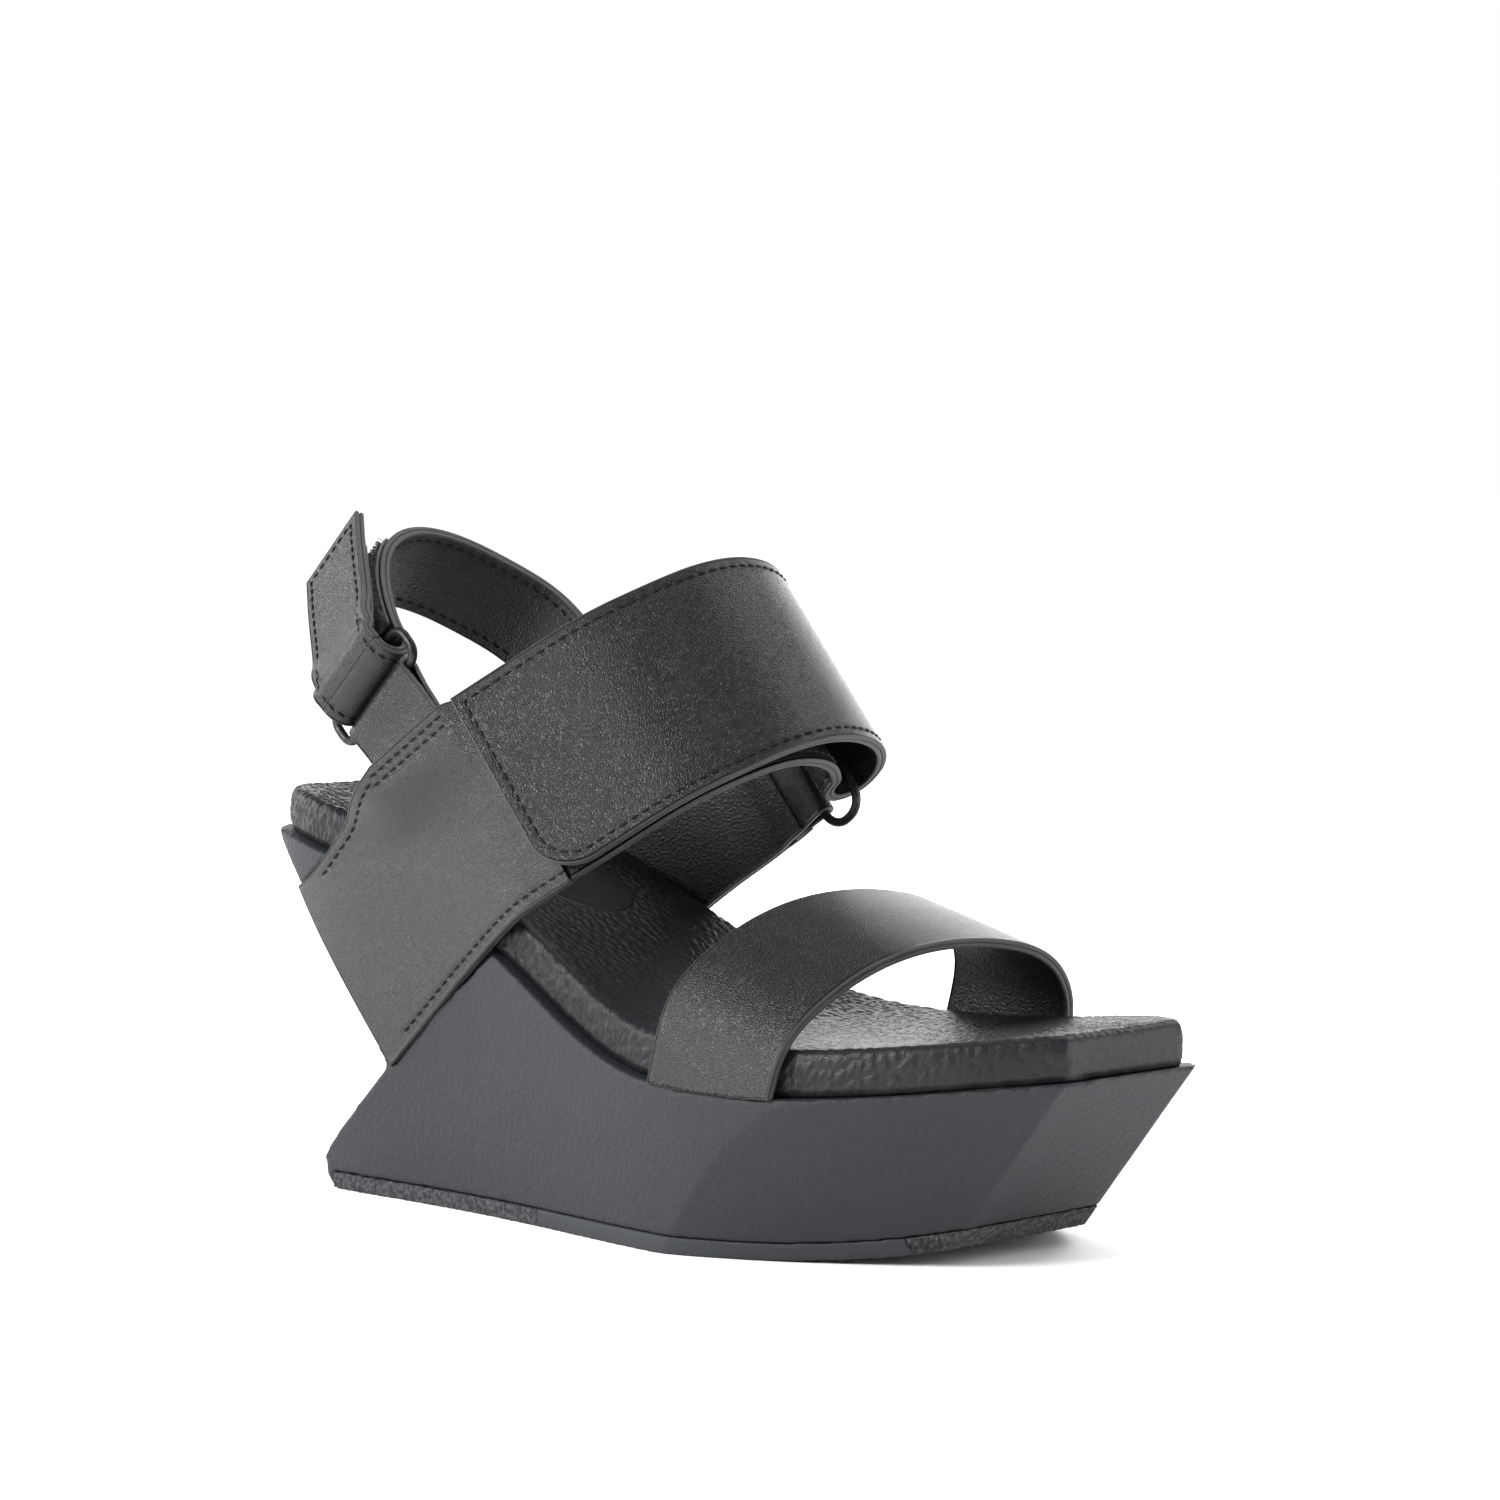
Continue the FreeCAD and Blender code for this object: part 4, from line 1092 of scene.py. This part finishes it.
def sock_label():
    """Smooth patch, its edge pressed into the pebbled leather."""
    nose = np.linspace(-math.pi / 2, math.pi / 2, 60)
    out, aside = PATCH_HALF * np.cos(nose), PATCH_HALF * np.sin(nose)
    ends = [np.column_stack([PATCH_FRONT + out, aside]), np.column_stack([PATCH_REAR - out, -aside])]
    outline = evenly(np.concatenate(ends + [ends[0][:1]]), 0.7)[:-1]
    spine = np.column_stack([np.clip(outline[:, 0], PATCH_REAR, PATCH_FRONT),
                             np.zeros(len(outline))])
    profile = [(0.3, 0.0), (0.0, 0.25), (0.0, 0.6), (0.15, 0.85), (0.45, 0.98), (0.9, 1.0)]
    piece = cushion("sock_label_leather", outline, spine, lambda spot: footbed_top(spot) - 0.5,
                    lambda spot: footbed_top(spot) + 0.42, profile, patch_grain, 0.8, PATCH)
    finish_piece(piece, "sock_label")


# ---------------------------------------------------------------- moulded parts


def moulded(node, name, voxel, smooth, material, relief):
    """A finer copy of a hard part, its edges softened as a mould leaves them."""
    piece = add_object(name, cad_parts[node].data.copy())
    remesh = piece.modifiers.new("fine", "REMESH")
    remesh.mode = "VOXEL"
    remesh.voxel_size = voxel * MM
    even = piece.modifiers.new("even", "SMOOTH")
    even.factor = 0.5
    even.iterations = smooth
    bpy.context.view_layer.update()
    shape = piece.evaluated_get(bpy.context.evaluated_depsgraph_get())
    mesh = bpy.data.meshes.new_from_object(shape)
    piece.modifiers.clear()
    piece.data = mesh
    spots, normals = np.zeros((2, len(mesh.vertices) * 3))
    mesh.vertices.foreach_get("co", spots)
    mesh.vertex_normals.foreach_get("vector", normals)
    spots, normals = spots.reshape(-1, 3) / MM, normals.reshape(-1, 3)
    spots += normals * relief(spots, normals)[:, None]
    mesh.vertices.foreach_set("co", (spots * MM).ravel())
    mesh.update()
    dress(mesh, material)
    return piece


def dress(mesh, material):
    """Gives a mesh one material and smooth shading."""
    mesh.materials.clear()
    mesh.materials.append(material)
    smooth_shaded(mesh)


def skin(spots, normals):
    """The faint unevenness of a moulded wall."""
    x, y, z = spots.T
    return 0.02 * swell(x + y, z, 4.0, 61) + 0.02 * swell(x + y, z - y, 17.0, 62)


def crumbs(spots, normals):
    """Crumbly lumps on the sides and the tread, none on the slanting edges between them."""
    x, y, z = spots.T
    sheer = np.clip(1 - np.abs(normals[:, 2]), 0, 1)
    side = pebbles(x + y, z * 1.2, 1.25, 71) * 0.34 - 0.18
    below = pebbles(x, y, 1.3, 72) * 0.3 - 0.3
    return np.where(sheer > 0.4, side, below * (np.abs(normals[:, 2]) > 0.4))


# CAD node: voxel, rounds of smoothing, material, relief and slot.
SOLE_UNIT = {"wedge_midsole": (0.75, 3, MOULDED, skin, "moulded_wedge"),
             "outsole_waist": (0.55, 2, SMOOTH_RUBBER, skin, "sole_rubber_smooth"),
             "outsole_heel": (0.42, 1, CRUMB_RUBBER, crumbs, "sole_rubber_textured"),
             "outsole_toe": (0.36, 1, CRUMB_RUBBER, crumbs, "sole_rubber_textured")}
# CAD pieces that stay as they are and only get a material.
CARRIED_OVER = {"ankle_ring": WIRE, "instep_ring": WIRE, "shank": STEEL, "insole_board": BOARD,
                "footbed_core": FOAM}


def sole_unit():
    for node, material in CARRIED_OVER.items():
        dress(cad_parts[node].data, material)
    for node, (voxel, smooth, material, relief, slot) in SOLE_UNIT.items():
        piece = moulded(node, node + "_moulded", voxel, smooth, material, relief)
        finish_piece(piece, node)


# ---------------------------------------------------------------- studio

# Softboxes: place in metres, width, height and power. All are aimed at the middle of the object.
SOFTBOXES = {"toe_side": ((1.3, 0.7, 0.35), 0.7, 0.6, 10),
             "heel_side": ((-0.8, -1.15, 0.45), 0.8, 0.6, 5),
             "lateral_high": ((-0.4, -1.3, 0.8), 0.7, 0.5, 27),
             "heel_end": ((-1.4, -0.15, 0.45), 0.6, 0.6, 7),
             "behind": ((0.25, 1.15, 0.95), 0.45, 0.9, 8),
             "behind_low": ((-0.95, 1.2, 0.36), 1.7, 0.7, 17),
             "top": ((-0.1, 0.5, 1.4), 0.7, 0.4, 5)}
MIDDLE = Vector((0.0, 0.0, 0.07))
FLOOR_HALF = 30000.0


def studio():
    """A wide pale floor under a soft overhead light, with softboxes all round."""
    corners = [(-FLOOR_HALF, -FLOOR_HALF, 0), (FLOOR_HALF, -FLOOR_HALF, 0),
               (FLOOR_HALF, FLOOR_HALF, 0), (-FLOOR_HALF, FLOOR_HALF, 0)]
    white = Look("studio_white").finish(Base_Color=(0.93, 0.93, 0.93, 1), Roughness=0.9)
    mesh_object("studio_floor", corners, [(0, 1, 2, 3)], [white])

    # The backdrop is white to the eye, but dim in what it throws on the object.
    world = bpy.data.worlds.new("studio")
    world.use_nodes = True
    nodes, links = world.node_tree.nodes, world.node_tree.links
    seen, felt = nodes["Background"], nodes.new("ShaderNodeBackground")
    seen.inputs["Color"].default_value = (1, 1, 1, 1)
    felt.inputs["Color"].default_value = (0.05, 0.052, 0.056, 1)
    path = nodes.new("ShaderNodeLightPath")
    mix = nodes.new("ShaderNodeMixShader")
    links.new(path.outputs["Is Camera Ray"], mix.inputs[0])
    links.new(felt.outputs[0], mix.inputs[1])
    links.new(seen.outputs[0], mix.inputs[2])
    links.new(mix.outputs[0], nodes["World Output"].inputs["Surface"])
    bpy.context.scene.world = world
    bpy.context.scene.view_settings.view_transform = "Standard"

    overhead = bpy.data.lights.new("overhead", "SUN")
    overhead.energy = 3.9
    overhead.angle = math.radians(125)
    add_object("overhead", overhead).visible_glossy = False
    for name, (spot, width, height, power) in SOFTBOXES.items():
        light = bpy.data.lights.new(name, "AREA")
        light.shape = "RECTANGLE"
        light.size, light.size_y = width, height
        light.energy = power
        look_along(add_object(name, light), spot, MIDDLE - Vector(spot))


def look_along(holder, spot, way):
    holder.location = spot
    holder.rotation_euler = way.to_track_quat("-Z", "Y").to_euler()


CAMERA_PLACE = (0.7113, -0.7623, 0.1698)
CAMERA_AZIMUTH = math.radians(42.19)
CAMERA_ELEVATION = math.radians(3.44)


def camera():
    """Placed so that the object is seen from where the photographer stood."""
    lens = bpy.data.cameras.new("camera")
    lens.sensor_width = 36.0
    lens.lens = 108.72
    lens.clip_start, lens.clip_end = 0.05, 60.0
    across = math.cos(CAMERA_ELEVATION)
    back = Vector((math.sin(CAMERA_AZIMUTH) * across, -math.cos(CAMERA_AZIMUTH) * across,
                   math.sin(CAMERA_ELEVATION)))
    holder = add_object("camera", lens)
    look_along(holder, CAMERA_PLACE, -back)
    bpy.context.scene.camera = holder


camera()
studio()
sole_unit()
footbed()
sock_label()
quarter("lateral", 48.1)
quarter("medial", 61.0)
tab("ankle_tab", ANKLE, (111.5, -36.2), (127.5, -36.0))
tab("instep_tab", INSTEP, (57.0, 33.6), (67.0, 35.0))
instep_strap()
ankle_strap()
toe_strap()
